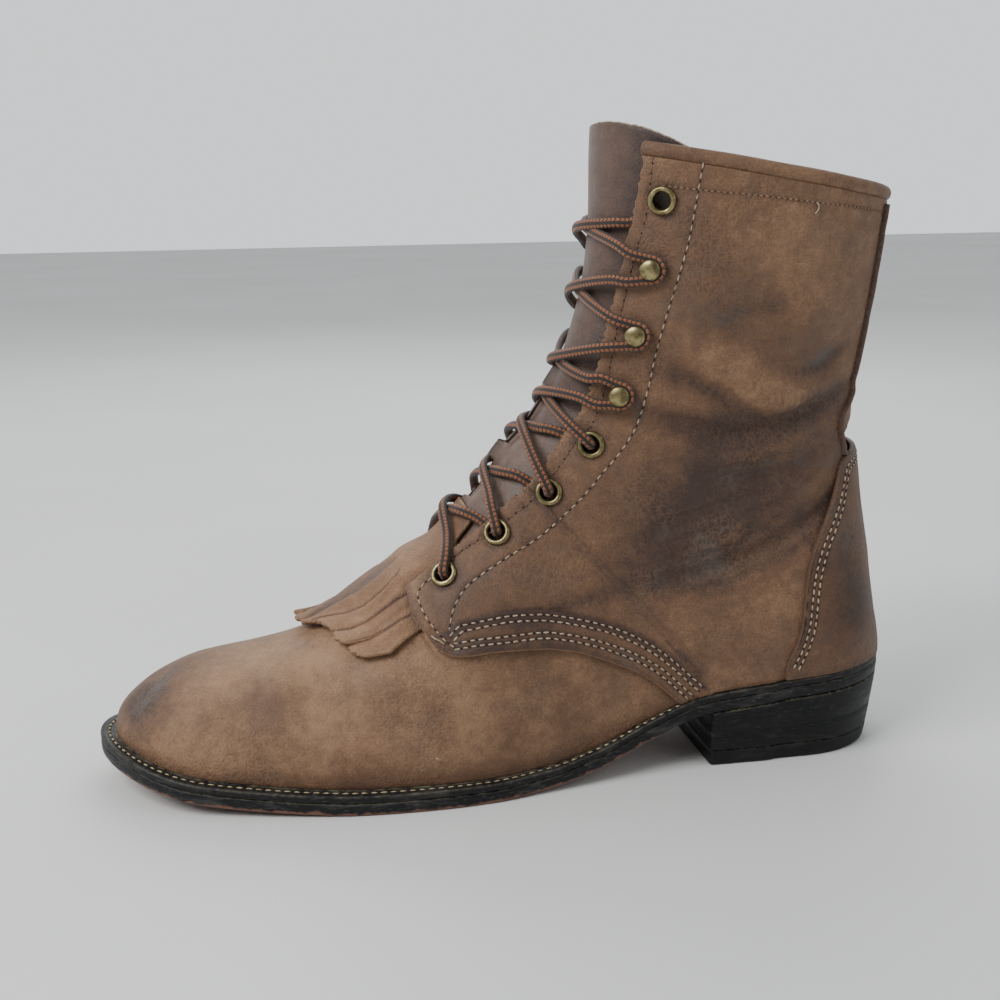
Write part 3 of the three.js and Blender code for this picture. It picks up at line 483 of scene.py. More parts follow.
def skin(pile, at, out, top, under, cut=None, joined=(), holes=(), tone=0.0,
         inside_slot=1, bulge=0.5, raw=1.0):
    """Leather over a grid of places, between two lifts in mm, with rounded cut edges.

    cut marks the quads to keep; joined names sides, with index ranges, that meet another grid.
    """
    rows, columns = at.shape[:2]
    outer = at + out * np.broadcast_to(np.asarray(top, float), (rows, columns))[..., None]
    inner = at + out * np.broadcast_to(np.asarray(under, float), (rows, columns))[..., None]
    kept = np.ones((rows - 1, columns - 1), bool) if cut is None else cut.copy()
    punch((outer, inner), kept, holes)
    faces = grid_quads(rows, columns)[kept]
    across = at[:-1, 1:] - at[:-1, :-1]
    along = at[1:, :-1] - at[:-1, :-1]
    if (np.cross(across, along) * out[:-1, :-1]).sum() < 0:
        faces = faces[:, ::-1]
    size = rows * columns
    start = pile.add(outer, faces, 0, np.broadcast_to(np.asarray(tone, float), (rows, columns)), 0.0)
    pile.add(inner, faces[:, ::-1], inside_slot, 0.0, 0.0)
    first = faces[:, [0, 1, 2, 3]].ravel()
    second = faces[:, [1, 2, 3, 0]].ravel()
    rim = ~np.isin(first * size + second, second * size + first)
    ids = np.arange(size).reshape(rows, columns)
    for side, low, high in joined:
        line = {"front": ids[0], "rear": ids[-1], "left": ids[:, 0], "right": ids[:, -1]}[side][low:high]
        rim &= ~(np.isin(first, line) & np.isin(second, line))
    a, b = first[rim], second[rim]
    flat_outer, flat_inner, flat_out = outer.reshape(-1, 3), inner.reshape(-1, 3), out.reshape(-1, 3)
    side_step = unit(np.cross(flat_outer[b] - flat_outer[a], flat_out[a]))
    push = np.zeros((size, 3))
    np.add.at(push, a, side_step)
    np.add.at(push, b, side_step)
    push = unit(push)
    used = np.unique(np.concatenate([a, b]))
    place_of = np.full(size, -1)
    place_of[used] = np.arange(len(used))
    middle = (flat_outer[used] + flat_inner[used]) / 2
    half = np.linalg.norm(flat_outer[used] - flat_inner[used], axis=-1, keepdims=True) / 2
    bead = np.stack([
        middle + flat_out[used] * half * math.cos(angle) + push[used] * half * bulge * math.sin(angle)
        for angle in np.radians([22, 56, 90, 124, 158])], 1)
    bead_start = pile.add(bead, np.zeros((0, 4), int), 0, 0.0, raw)
    chain_a = [start + a] + [bead_start + place_of[a] * 5 + k for k in range(5)] + [start + size + a]
    chain_b = [start + b] + [bead_start + place_of[b] * 5 + k for k in range(5)] + [start + size + b]
    for k in range(6):
        quads = np.stack([chain_b[k], chain_a[k], chain_a[k + 1], chain_b[k + 1]], -1)
        pile.faces.append(quads)
        pile.slots.append(np.zeros(len(quads), int))


def ride(piece, slot, *nodes):
    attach(piece, BODY)
    if nodes:
        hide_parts(*nodes)
    return piece


# Finishes
class Finish:
    """A material and short ways to add and join its nodes."""

    def __init__(self, name, **shader):
        self.material = bpy.data.materials.new(name)
        self.material.use_nodes = True
        self.tree = self.material.node_tree
        self.shader = self.tree.nodes["Principled BSDF"]
        for socket, value in shader.items():
            self.shader.inputs[socket.replace("_", " ")].default_value = value
        self.place = self.tree.nodes.new("ShaderNodeTexCoord").outputs["Object"]

    def put(self, socket, value):
        if isinstance(value, bpy.types.NodeSocket):
            self.tree.links.new(value, socket)
        else:
            socket.default_value = value

    def add(self, kind, **settings):
        node = self.tree.nodes.new(kind)
        for name, value in settings.items():
            setattr(node, name, value)
        return node

    def noise(self, size, detail=3.0, rough=0.5, bend=0.0, at=None):
        node = self.add("ShaderNodeTexNoise")
        self.put(node.inputs["Vector"], at or self.place)
        for name, value in (("Scale", 1 / (size * MM)), ("Detail", detail), ("Roughness", rough),
                            ("Distortion", bend)):
            node.inputs[name].default_value = value
        return node.outputs["Fac"]

    def cells(self, size, feature="F1", at=None):
        node = self.add("ShaderNodeTexVoronoi", feature=feature)
        self.put(node.inputs["Vector"], at or self.place)
        node.inputs["Scale"].default_value = 1 / (size * MM)
        return node.outputs["Distance"]

    def shaken(self, size, amount, at=None):
        """Object coordinates pushed about by noise, in mm."""
        node = self.add("ShaderNodeTexNoise")
        self.put(node.inputs["Vector"], at or self.place)
        node.inputs["Scale"].default_value = 1 / (size * MM)
        centred = self.add("ShaderNodeVectorMath", operation="SUBTRACT")
        self.put(centred.inputs[0], node.outputs["Color"])
        centred.inputs[1].default_value = (0.5, 0.5, 0.5)
        scaled = self.add("ShaderNodeVectorMath", operation="SCALE")
        self.put(scaled.inputs[0], centred.outputs[0])
        scaled.inputs["Scale"].default_value = amount * MM
        total = self.add("ShaderNodeVectorMath", operation="ADD")
        self.put(total.inputs[0], at or self.place)
        self.put(total.inputs[1], scaled.outputs[0])
        return total.outputs[0]

    def stretched(self, x, y, z):
        node = self.add("ShaderNodeMapping")
        self.put(node.inputs["Vector"], self.place)
        node.inputs["Scale"].default_value = (x, y, z)
        return node.outputs[0]

    def math(self, operation, a, b=0.0, c=0.0):
        node = self.add("ShaderNodeMath", operation=operation)
        for socket, value in zip(node.inputs, (a, b, c)):
            self.put(socket, value)
        return node.outputs[0]

    def span(self, value, low, high, to_low=0.0, to_high=1.0):
        node = self.add("ShaderNodeMapRange")
        for name, given in (("Value", value), ("From Min", low), ("From Max", high),
                            ("To Min", to_low), ("To Max", to_high)):
            self.put(node.inputs[name], given)
        return node.outputs[0]

    def painted(self, name):
        return self.add("ShaderNodeAttribute", attribute_name=name).outputs["Fac"]

    def colour(self, factor, a, b):
        node = self.add("ShaderNodeMix", data_type="RGBA")
        self.put(node.inputs[0], factor)
        self.put(node.inputs[6], a)
        self.put(node.inputs[7], b)
        return node.outputs[2]

    def bumps(self, *layers):
        """Bump layers as (height, depth in mm, strength), the last on top."""
        normal = None
        for height, depth, strength in layers:
            node = self.add("ShaderNodeBump")
            node.inputs["Strength"].default_value = strength
            node.inputs["Distance"].default_value = depth * MM
            self.put(node.inputs["Height"], height)
            if normal:
                self.put(node.inputs["Normal"], normal)
            normal = node.outputs[0]
        self.put(self.shader.inputs["Normal"], normal)

    def set(self, socket, value):
        self.put(self.shader.inputs[socket], value)


def shade(red, green, blue):
    """A colour given as it looks on a screen, 0 to 255."""
    def level(value):
        value /= 255
        return value / 12.92 if value <= 0.04045 else ((value + 0.055) / 1.055) ** 2.4
    return level(red), level(green), level(blue), 1.0


def oiled_leather(name, mid, light, dark, scuff, raw, grain=0.5, gloss=0.0, seed=0.0, wrinkles=0.17):
    """Waxy brown leather: clouds of pulled-up tan and worked-in dark, fine grain, pale cut edges, and the
    painted tone, which holds real mottling, painted shade and painted highlight.
    """
    f = Finish(name)
    where = f.add("ShaderNodeMapping")
    f.put(where.inputs["Vector"], f.place)
    where.inputs["Location"].default_value = (seed, seed * 0.7, seed * 1.3)
    place = where.outputs[0]
    clouds = f.noise(52, 3, 0.5, 0.3, place)
    blotches = f.noise(17, 4, 0.55, 0.4, place)
    mottle = f.noise(4.2, 4, 0.6, 0.2, place)
    fleck = f.noise(0.7, 3, 0.65, 0.0, place)
    # The painted tone holds the leather's mottling and also painted shade in folds, grooves and under
    # overlaps, and painted highlight on bulges.
    tone = f.painted("tone")
    level = f.math("ADD", f.span(clouds, 0.3, 0.7, -0.15, 0.15), f.span(blotches, 0.3, 0.7, -0.13, 0.13))
    level = f.math("ADD", level, tone)
    level = f.math("ADD", level, f.span(mottle, 0.3, 0.7, -0.20, 0.20))
    level = f.math("ADD", level, f.span(fleck, 0.3, 0.7, -0.30, 0.30))
    colour = f.colour(f.span(level, 0.0, 0.9), mid, light)
    colour = f.colour(f.span(level, -0.05, -0.85), colour, dark)
    scuffs = f.math("MULTIPLY", f.span(f.noise(22, 5, 0.65, 0.6, f.shaken(60, 14, place)), 0.54, 0.72),
                    f.span(tone, 0.1, -0.6, 0.25, 1.0))
    colour = f.colour(scuffs, colour, scuff)
    cracks = f.cells(2.2, "DISTANCE_TO_EDGE", f.shaken(1.8, 1.5, f.shaken(9, 4.5, place)))
    fine_cracks = f.cells(1.0, "DISTANCE_TO_EDGE", f.shaken(1.4, 0.9, place))
    crack_mask = f.span(f.noise(24, 3, 0.5, 0.0, place), 0.40, 0.62)
    pale_lines = f.math("MULTIPLY", f.span(cracks, 0.13, 0.0), crack_mask)
    colour = f.colour(f.math("MULTIPLY", pale_lines, wrinkles), colour, light)
    hairs = f.noise(0.35, 2, 0.7, 0.0, place)
    colour = f.colour(f.painted("raw"), colour, f.colour(f.span(hairs, 0.35, 0.65), raw, dark))
    f.set("Base Color", colour)
    f.set("Roughness", f.span(f.math("ADD", blotches, f.span(fleck, 0.3, 0.7, -0.1, 0.1)),
                              0.3, 0.75, 0.54 - gloss, 0.74 - gloss))
    f.shader.inputs["Specular IOR Level"].default_value = 0.42
    f.shader.inputs["Sheen Weight"].default_value = 0.03
    f.shader.inputs["Sheen Roughness"].default_value = 0.5
    pores = f.cells(0.62, "F1", f.shaken(1.6, 0.5, place))
    f.bumps((f.noise(7, 4, 0.55, 0.2, place), 0.6, 0.35 * grain + 0.25),
            (f.math("MULTIPLY", f.span(cracks, 0.0, 0.3), crack_mask), 0.3, 0.9 * grain),
            (f.span(fine_cracks, 0.0, 0.25), 0.16, 0.7 * grain),
            (pores, 0.16, 0.7 * grain),
            (hairs, 0.12, 0.6))
    return f.material


upper_leather = oiled_leather("upper_leather_worn", shade(106, 77, 56), shade(154, 120, 90),
                              shade(64, 46, 38), shade(82, 72, 66), shade(166, 128, 92))
trim_leather = oiled_leather("trim_leather_worn", shade(99, 71, 52), shade(146, 112, 82),
                             shade(60, 43, 35), shade(78, 68, 61), shade(104, 76, 56), seed=0.31)
kiltie_leather = oiled_leather("kiltie_leather_worn", shade(124, 90, 65), shade(164, 127, 94),
                               shade(78, 53, 40), shade(82, 70, 62), shade(172, 136, 100), grain=0.7,
                               seed=0.57)
tongue_leather = oiled_leather("tongue_leather_worn", shade(86, 66, 56), shade(120, 98, 84),
                               shade(54, 39, 36), shade(96, 86, 80), shade(192, 170, 142), grain=0.22,
                               gloss=0.14, seed=0.83, wrinkles=0.05)


def lining_finish():
    f = Finish("lining_leather_worn", Roughness=0.6)
    clouds = f.noise(24, 4, 0.6, 0.4)
    fine = f.noise(1.2, 4, 0.6)
    colour = f.colour(f.span(clouds, 0.3, 0.7), shade(126, 98, 70), shade(166, 134, 98))
    colour = f.colour(f.span(fine, 0.42, 0.75, 0.0, 0.5), colour, shade(98, 74, 54))
    f.set("Base Color", colour)
    f.set("Roughness", f.span(fine, 0.3, 0.7, 0.55, 0.75))
    f.bumps((f.cells(0.8), 0.12, 0.4), (fine, 0.15, 0.35))
    return f.material


def thread_finish(name, pale, dark):
    f = Finish(name)
    strand = f.noise(0.9, 3, 0.6)
    colour = f.colour(f.span(strand, 0.35, 0.7), pale, dark)
    f.set("Base Color", colour)
    f.set("Roughness", f.span(f.noise(0.3, 2), 0.3, 0.7, 0.6, 0.9))
    f.bumps((f.noise(0.22, 2), 0.08, 0.5))
    return f.material


def brass_finish():
    f = Finish("antique_brass_worn", Metallic=1.0)
    wear = f.noise(2.6, 4, 0.6, 0.3)
    fine = f.noise(0.5, 3, 0.6)
    colour = f.colour(f.span(wear, 0.35, 0.68), shade(108, 97, 66), shade(166, 154, 112))
    pits = f.span(fine, 0.6, 0.75)
    colour = f.colour(pits, colour, shade(66, 56, 40))
    f.set("Base Color", colour)
    f.set("Roughness", f.span(wear, 0.3, 0.7, 0.46, 0.30))
    f.bumps((fine, 0.03, 0.25), (f.noise(6, 2), 0.05, 0.2))
    return f.material


def lace_finish():
    """Braided cord: near black with two copper stripes, slanted yarns read from the piece's UV map."""
    f = Finish("lace_cord_braid")
    split = f.add("ShaderNodeSeparateXYZ")
    f.put(split.inputs[0], f.add("ShaderNodeUVMap", uv_map="run").outputs[0])
    length, round_it = split.outputs["X"], split.outputs["Y"]
    from_side = f.math("PINGPONG", f.math("MULTIPLY", round_it, 2.0), 0.5)
    from_stripe = f.math("ABSOLUTE", f.math("SUBTRACT", from_side, 0.29))
    stripe = f.span(from_stripe, 0.13, 0.09)
    slant = f.math("ADD", f.math("MULTIPLY", length, 1 / 1.7), f.math("MULTIPLY", from_stripe, 2.6))
    yarn = f.math("PINGPONG", slant, 0.5)
    copper = f.math("MULTIPLY", stripe, f.span(yarn, 0.09, 0.20))
    cross = f.math("PINGPONG", f.math("SUBTRACT", f.math("MULTIPLY", length, 1 / 0.85),
                                      f.math("MULTIPLY", round_it, 9.0)), 0.5)
    fibre = f.noise(0.25, 2)
    dark = f.colour(f.span(cross, 0.1, 0.4), shade(22, 17, 16), shade(42, 32, 28))
    bright = f.colour(f.span(fibre, 0.35, 0.65), shade(116, 68, 40), shade(156, 96, 58))
    f.set("Base Color", f.colour(copper, dark, bright))
    f.set("Roughness", f.span(fibre, 0.3, 0.7, 0.62, 0.85))
    f.shader.inputs["Sheen Weight"].default_value = 0.15
    weave = f.math("ADD", f.math("MULTIPLY", yarn, stripe), f.math("MULTIPLY", cross, 0.6))
    f.bumps((weave, 0.35, 0.8), (fibre, 0.1, 0.4))
    return f.material


def sole_finish(name, base, worn, worn_low, worn_high, streaks=0.5):
    """Waxed black edge, scuffed grey, with a bare worn rim where it meets the ground."""
    f = Finish(name)
    rise = f.painted("tone")
    scuff = f.noise(5, 5, 0.65, 0.4, f.stretched(0.35, 0.35, 1.6))
    fine = f.noise(0.9, 4, 0.65, 0.0, f.stretched(0.3, 0.3, 1.5))
    colour = f.colour(f.math("MULTIPLY", f.span(scuff, 0.5, 0.72), streaks), base, shade(92, 92, 88))
    colour = f.colour(f.math("MULTIPLY", f.span(fine, 0.58, 0.72), streaks), colour, shade(122, 120, 112))
    ragged = f.math("ADD", rise, f.span(f.noise(4, 4, 0.6), 0.3, 0.7, -0.9, 0.9))
    colour = f.colour(f.span(ragged, worn_high, worn_low), colour, worn)
    pale = f.painted("raw")
    colour = f.colour(f.math("MULTIPLY", pale, f.span(f.noise(3, 3, 0.6), 0.35, 0.65)), colour,
                      shade(148, 138, 116))
    f.set("Base Color", colour)
    f.set("Roughness", f.span(scuff, 0.3, 0.7, 0.42, 0.66))
    f.shader.inputs["Specular IOR Level"].default_value = 0.26
    f.bumps((scuff, 0.25, 0.35), (fine, 0.18, 0.5), (f.noise(0.6, 3), 0.08, 0.35))
    return f.material


lining_leather = lining_finish()
cream_thread = thread_finish("cream_thread", shade(190, 170, 148), shade(140, 116, 96))
tan_thread = thread_finish("tan_thread", shade(160, 130, 102), shade(112, 84, 64))
brown_thread = thread_finish("brown_thread", shade(128, 96, 74), shade(76, 54, 42))
welt_thread = thread_finish("welt_thread", shade(188, 172, 132), shade(120, 104, 76))
# Near-black beads set in the needle holes: painted shade in the holes.
needle_hole_shade = thread_finish("needle_hole_shade", shade(34, 22, 16), shade(26, 17, 13))
antique_brass = brass_finish()
lace_cord = lace_finish()
welt_leather = sole_finish("welt_leather_waxed", shade(20, 19, 21), shade(120, 108, 84), -9, -8, 0.3)
sole_rubber = sole_finish("sole_edge_waxed", shade(20, 20, 22), shade(116, 82, 68), 0.8, 1.5, 0.42)
heel_rubber = sole_finish("heel_rubber_scuffed", shade(11, 11, 13), shade(60, 58, 60), -9, -8, 0.16)
insole_leather = oiled_leather("insole_leather_worn", shade(140, 112, 80), shade(170, 140, 104),
                               shade(86, 64, 46), shade(80, 66, 52), shade(170, 140, 104),
                               grain=0.3, seed=0.12)

# Seams, openings and fittings on the last: (station, swing), alike on both sides
throat = curve_of([
    (1.02, 20), (1.09, 26), (1.19, 23), (1.35, 19.5), (1.70, 16.5), (2.10, 15.5),
    (2.50, 17), (3.00, 18), (3.50, 20.5), (4.00, 24.5), (4.30, 25)])
quarter_edge = curve_of([
    (1.09, 42), (1.126, 53), (1.147, 58), (1.196, 62), (1.313, 64), (1.447, 70),
    (1.531, 80), (1.608, 102), (1.650, 121), (1.672, 140), (1.690, 160)])
vamp_reach = curve_of([
    (1.0, 0), (1.03, 14), (1.06, 22), (1.09, 29), (1.126, 42), (1.147, 48), (1.196, 53),
    (1.313, 56), (1.447, 61), (1.531, 69), (1.608, 86), (1.65, 103), (1.69, 122), (1.74, 140)])
eyelet_spots = [(1.239, 28), (1.519, 22), (1.811, 20.5), (2.212, 22), (3.819, 30)]
hook_spots = [(2.790, 25), (3.192, 27), (3.507, 29)]
fitting_radius = {"flange": 5.0, "hole": 3.0, "drilled": 3.8}

stitch_rows = {
    "throat": [(4.0, 27), (3.751, 26), (3.530, 23.5), (3.208, 21.5), (3.018, 21), (2.484, 20.5),
               (2.096, 18.5), (1.818, 18.5), (1.722, 19.5), (1.345, 22.5), (1.215, 26)],
    "tab": [(1.215, 26), (1.150, 29), (1.121, 34), (1.128, 42), (1.156, 51), (1.185, 57), (1.203, 59)],
    "eyestay": [(1.196, 51), (1.225, 44), (1.303, 36), (1.420, 32.5), (1.553, 30), (1.798, 27.5),
                (1.980, 27.5), (2.332, 29.5), (2.580, 31), (2.774, 31.3), (3.036, 32), (3.270, 34),
                (3.453, 36), (3.678, 38.5), (4.0, 40)],
    "band_top": [(1.200, 53), (1.240, 50.3), (1.364, 51), (1.489, 55), (1.582, 65), (1.662, 85), (1.711, 114),
                 (1.726, 136)],
    "band_low": [(1.206, 57), (1.260, 57.2), (1.352, 59), (1.469, 63), (1.554, 73), (1.633, 94), (1.684, 120),
                 (1.700, 140)],
    "collar": [(3.885, 30), (3.893, 41), (3.912, 60), (3.925, 85), (3.940, 117), (3.945, 150), (3.945, 178)],
}
folds = [  # route, depth in mm, width in mm
    ([(2.708, 30), (2.681, 37), (2.691, 43), (2.685, 59), (2.787, 85), (2.940, 112), (3.029, 134),
      (3.115, 153)], 3.2, 5.5),
    ([(3.031, 29), (3.025, 37), (3.013, 46), (2.894, 68), (2.825, 91)], 1.6, 5.0),
    ([(3.130, 95), (3.156, 110), (3.234, 124), (3.316, 140)], 1.5, 5.0),
    ([(1.790, 73), (1.900, 93), (1.997, 111), (2.214, 125), (2.376, 133), (2.519, 141), (2.627, 147)], 2.9,
     8.0),
    ([(2.374, 55), (2.440, 86), (2.597, 115), (2.801, 134)], 1.5, 7.0),
    ([(1.344, 52), (1.479, 56), (1.652, 61), (1.790, 73)], 0.8, 3.5),
    ([(3.155, 43), (3.076, 64), (2.981, 94), (3.02, 120)], -2.3, 8.0),
    ([(1.892, 54), (2.058, 70), (2.324, 93), (2.543, 117)], 1.9, 12.0),
    ([(2.86, 150), (2.82, 165), (2.80, 179)], 2.6, 6.5),
    ([(3.30, 50), (3.42, 70), (3.45, 90)], 0.9, 7.0),
]
# The patches are partly the leather's own mottling, partly painted highlight on fold bulges and painted shade
# below them.
patches = {  # station, swing, reach in mm, tone: tan above 0, dark below
    "vamp": [
        (0.334, 54, 13, -0.9), (0.281, 69, 9, -0.6), (0.30, 10, 14, -0.5), (0.30, -40, 16, -0.5),
        (0.717, 60, 13, -0.45), (0.776, 68, 10, -0.45), (0.681, 37, 15, 0.35), (0.564, 47, 14, 0.3),
        (0.863, 80, 20, 0.5), (0.60, 80, 16, 0.15), (0.967, 81, 12, -0.3), (1.065, 79, 11, -0.35),
        (1.389, 72, 13, -0.4), (1.389, 116, 20, -0.35), (1.283, 86, 16, 0.1), (0.876, 40, 14, 0.45),
        (1.082, 66, 16, 0.45), (1.217, 78, 15, 0.35), (0.72, 15, 18, 0.25), (0.9, -60, 22, 0.35),
        (1.25, -85, 20, -0.35), (0.6, -70, 16, -0.3), (0.5, 20, 16, -0.25),
    ],
    "quarter": [
        (2.146, 58, 20, -0.45), (2.185, 94, 20, -0.35), (2.048, 33, 14, -0.3), (1.928, 63, 18, -0.35),
        (2.55, 70, 14, -0.3), (2.064, 121, 18, 0.40), (1.866, 108, 16, 0.35), (2.035, 145, 16, 0.35),
        (1.647, 75, 14, 0.25), (3.731, 71, 22, 0.30), (3.474, 90, 24, 0.28), (3.247, 62, 16, 0.10),
        (3.530, 40, 14, -0.25), (3.417, 51, 16, -0.25), (3.066, 71, 14, -0.2), (3.30, 130, 18, 0.2),
        (3.75, 140, 20, -0.2), (2.70, 45, 12, 0.3), (1.45, 45, 16, -0.2), (2.146, -60, 20, -0.4),
        (3.5, -80, 26, 0.3), (2.0, -130, 20, 0.35), (1.7, -75, 16, 0.2), (2.9, -100, 16, -0.35),
    ],
    "counter": [(2.111, 153, 12, -0.9), (2.266, 148, 10, -0.6), (1.95, 165, 14, 0.2), (2.5, 165, 14, -0.3),
                (2.15, -160, 14, -0.6), (2.5, -160, 14, 0.2)],
}


def sidestep(route, step):
    """A route moved sideways on the last by a step in mm, away from the ridge where positive."""
    station, swing = route[:, 0], route[:, 1]
    at, out = on_last(station, swing)
    by_station = (spot(station + 0.004, swing) - at) / 0.004
    by_swing = (spot(station, swing + 0.4) - at) / 0.4
    run = unit(np.gradient(at, axis=0))
    across = unit(np.cross(out, run))
    across *= np.sign((across * by_swing * np.sign(swing)[:, None]).sum(-1).mean())
    matrix = np.stack([by_station, by_swing, out], -1)
    moved = np.linalg.solve(matrix, (across * step)[..., None])[..., 0]
    return route + moved[:, :2]


band_step = 2.1
routes = {}
for row_name, knots in stitch_rows.items():
    routes[row_name] = smooth_line(knots, 0.7, 3.0 if row_name in ("throat", "eyestay") else 0.0)
routes["band_top_2"] = sidestep(routes["band_top"], band_step)
routes["band_low_2"] = sidestep(routes["band_low"], band_step)
routes["band_rim"] = sidestep(routes["band_top"], -1.5)
band_rim = curve_of([tuple(p) for p in routes["band_rim"][::6]])


def nearest(points, route):
    """Distance in mm to a route of points, and how far along it the nearest one is, 0 to 1."""
    flat = points.reshape(-1, 3)
    best = np.full(len(flat), 1e9)
    index = np.zeros(len(flat))
    for start in range(0, len(route), 16):
        gap = ((flat[:, None, :] - route[None, start:start + 16]) ** 2).sum(-1)
        close = gap.min(1)
        better = close < best
        best = np.where(better, close, best)
        index = np.where(better, gap.argmin(1) + start, index)
    shape = points.shape[:-1]
    return np.sqrt(best).reshape(shape), (index / max(len(route) - 1, 1)).reshape(shape)


def patch_tone(at, name):
    tone = np.zeros(at.shape[:-1])
    for station, swing, reach, amount in patches[name]:
        centre = spot(station, swing)
        distance = np.linalg.norm(at - centre, axis=-1)
        wobble = 1 + 0.35 * lumps(at, 9, 5)
        tone += 0.75 * amount * dent(distance * wobble, reach)
    return tone


def fold_relief(at, side):
    lift = np.zeros(at.shape[:-1])
    for knots, depth, width in folds:
        line = smooth_line(knots, 3.0)
        route = spot(line[:, 0], line[:, 1] * side)
        distance, share = nearest(at, route)
        fade = np.sin(np.pi * np.clip(share, 0.02, 0.98)) ** 0.6
        rough_gap = distance * (1 + 0.2 * lumps(at, 7, 31))
        lift -= depth * fade * (1.05 * dent(rough_gap, width) + 0.42 * dent(rough_gap, 0.24 * width))
        lift += 0.07 * abs(depth) * fade * np.cos(rough_gap * 1.5) * dent(rough_gap, 1.7 * width)
    return lift


def quarter_relief(at, station, swing, side):
    """Lift in mm and tone over the quarter, with its folds, stitched band and dimples; the tone holds painted
    shade in valleys, grooves, at the band's step and round the fittings.
    """
    reach = np.abs(swing)
    steady = smooth(0.0, 1.0, np.minimum(reach, 60) / 12 - 1.3)
    relief = quarter_step + fold_relief(at, side) * steady
    relief += 0.5 * lumps(at, 21, 3) * steady + 0.2 * lumps(at, 8, 4)
    relief = relief + 0.9 * smooth(1.18, 1.11, station) * smooth(60, 50, reach)
    # Tone follows the relief: lighter on raised folds, the pull-up leather's real wear, and darker in the
    # valleys, painted shade.
    shade_of = patch_tone(at, "quarter") + 0.42 * np.clip(relief - quarter_step, -1.8, 1.0)
    seams = {name: spot(line[:, 0], line[:, 1] * side) for name, line in routes.items()}
    rim_gap, _ = nearest(at, seams["band_rim"])
    below = np.where(reach > band_rim(station), 1.0, -1.0) * np.where(station < 1.73, 1.0, -1.0)
    band = smooth(-0.35, 0.35, rim_gap * below)
    band = np.where(station > 1.76, 0.0, band)
    relief = lerp(relief, quarter_step + 0.1 * lumps(at, 6, 9), band * 0.8) + 0.75 * band
    # The band is a little darker in its own colour; the dark line along its top edge is painted shadow at the
    # step.
    shade_of = shade_of - 0.22 * band - 0.5 * dent(rim_gap * (below < 0), 0.8) * (rim_gap < 3)
    # Each stitch row sinks into a groove, and the groove is darkened with painted shade.
    for name, depth in (("throat", 0.3), ("tab", 0.3), ("eyestay", 0.32), ("collar", 0.28),
                        ("band_top", 0.35), ("band_top_2", 0.35), ("band_low", 0.35), ("band_low_2", 0.35)):
        gap, _ = nearest(at, seams[name])
        relief -= depth * dent(gap, 0.9)
        shade_of = shade_of - 0.28 * dent(gap, 0.9)
    # A dimple round each eyelet and hook, with a ring of painted shade round the fitting.
    for spots, radius in ((eyelet_spots, 6.2), (hook_spots, 5.0)):
        for place_station, place_swing in spots:
            centre = spot(place_station, place_swing * side)
            gap = np.linalg.norm(at - centre, axis=-1)
            relief -= 0.35 * smooth(radius + 1.2, radius - 1.0, gap)
            shade_of = shade_of - 0.35 * dent(gap - radius + 0.6, 1.2)
    shade_of = shade_of - 0.55 * smooth(1.122, 1.092, station) * (reach < 60)
    low_edge = np.minimum(quarter_edge(station), 175)
    from_edge = np.where(station < 1.7, (low_edge - reach), 99)
    shade_of = shade_of - 0.35 * smooth(7, 1, from_edge) * (station < 1.7)
    return relief, shade_of


def station_rows(first, last, pitch, guides):
    dense = np.linspace(first, last, 900)
    step = np.zeros(len(dense) - 1)
    for guide in guides:
        line = spot(dense, guide(dense))
        step = np.maximum(step, np.linalg.norm(np.diff(line, axis=0), axis=1))
    run = np.concatenate([[0], np.cumsum(step)])
    count = int(run[-1] / pitch)
    return np.interp(np.linspace(0, run[-1], count + 1), run, dense)


# Vamp
def build_vamp():
    pile = Pile()
    stations = station_rows(0.0, 1.735, 1.6, [
        lambda s: edge_of(s, 1) * 0.97, lambda s: edge_of(s, 1) * 0.5, lambda s: s * 0])
    for side in (1, -1):
        high = edge_of(stations, side)
        low = np.minimum(np.where(stations < 1.0, 0, vamp_reach(stations)), high - 3)
        across = np.linspace(0, 1, 76)
        swing = side * (low[:, None] + (high - low)[:, None] * across)
        at, out = on_last(stations[:, None], swing)
        at[0] = (toe_point, float(middle_of(toe_point)), float(feather_height(toe_point)))
        out[0] = (-1, 0, 0)
        out[:, -1, 2] = 0
        out[:, -1] = unit(out[:, -1])
        tone = 0.28 + patch_tone(at, "vamp") + 0.2 * lumps(at, 12, 6)
        under_quarter = smooth(3, 9, np.abs(swing) - np.minimum(quarter_edge(stations), 175)[:, None])
        covered = np.where(stations[:, None] > 1.09, 1 - under_quarter, 0)
        under_kiltie = smooth(0.9, 0.97, stations)[:, None] * smooth(62, 54, np.abs(swing))
        relief = 0.34 * lumps(at, 24, 1) + 0.16 * lumps(at, 9, 2)
        relief += -0.5 * covered - 0.35 * under_kiltie
        relief -= (0.9 * smooth(1.03, 1.08, stations)[:, None] * smooth(60, 54, np.abs(swing))
                   * (stations[:, None] < 1.3))
        relief *= smooth(0, 0.12, 1 - across)[None, :] * smooth(0, 0.2, stations)[:, None]
        # Darker towards the welt: painted shade where the upper meets the welt.
        welt_gap = (high[:, None] - np.abs(swing))
        tone = tone - 0.45 * smooth(9, 1, welt_gap)
        # Darker under the quarter's edge: painted shadow of the overlapping quarter.
        tone = tone - 0.6 * smooth(-1, -6,
                                   np.abs(swing) - np.minimum(quarter_edge(stations), 175)[:, None] - 3) \
            * (stations[:, None] > 1.09)
        closed = int(np.searchsorted(stations, 1.0)) + 1
        skin(pile, at, out, relief, -wall + 0.3, joined=[("left", 0, closed), ("front", None, None)],
             tone=tone)
    return pile.piece("vamp", [upper_leather, lining_leather])


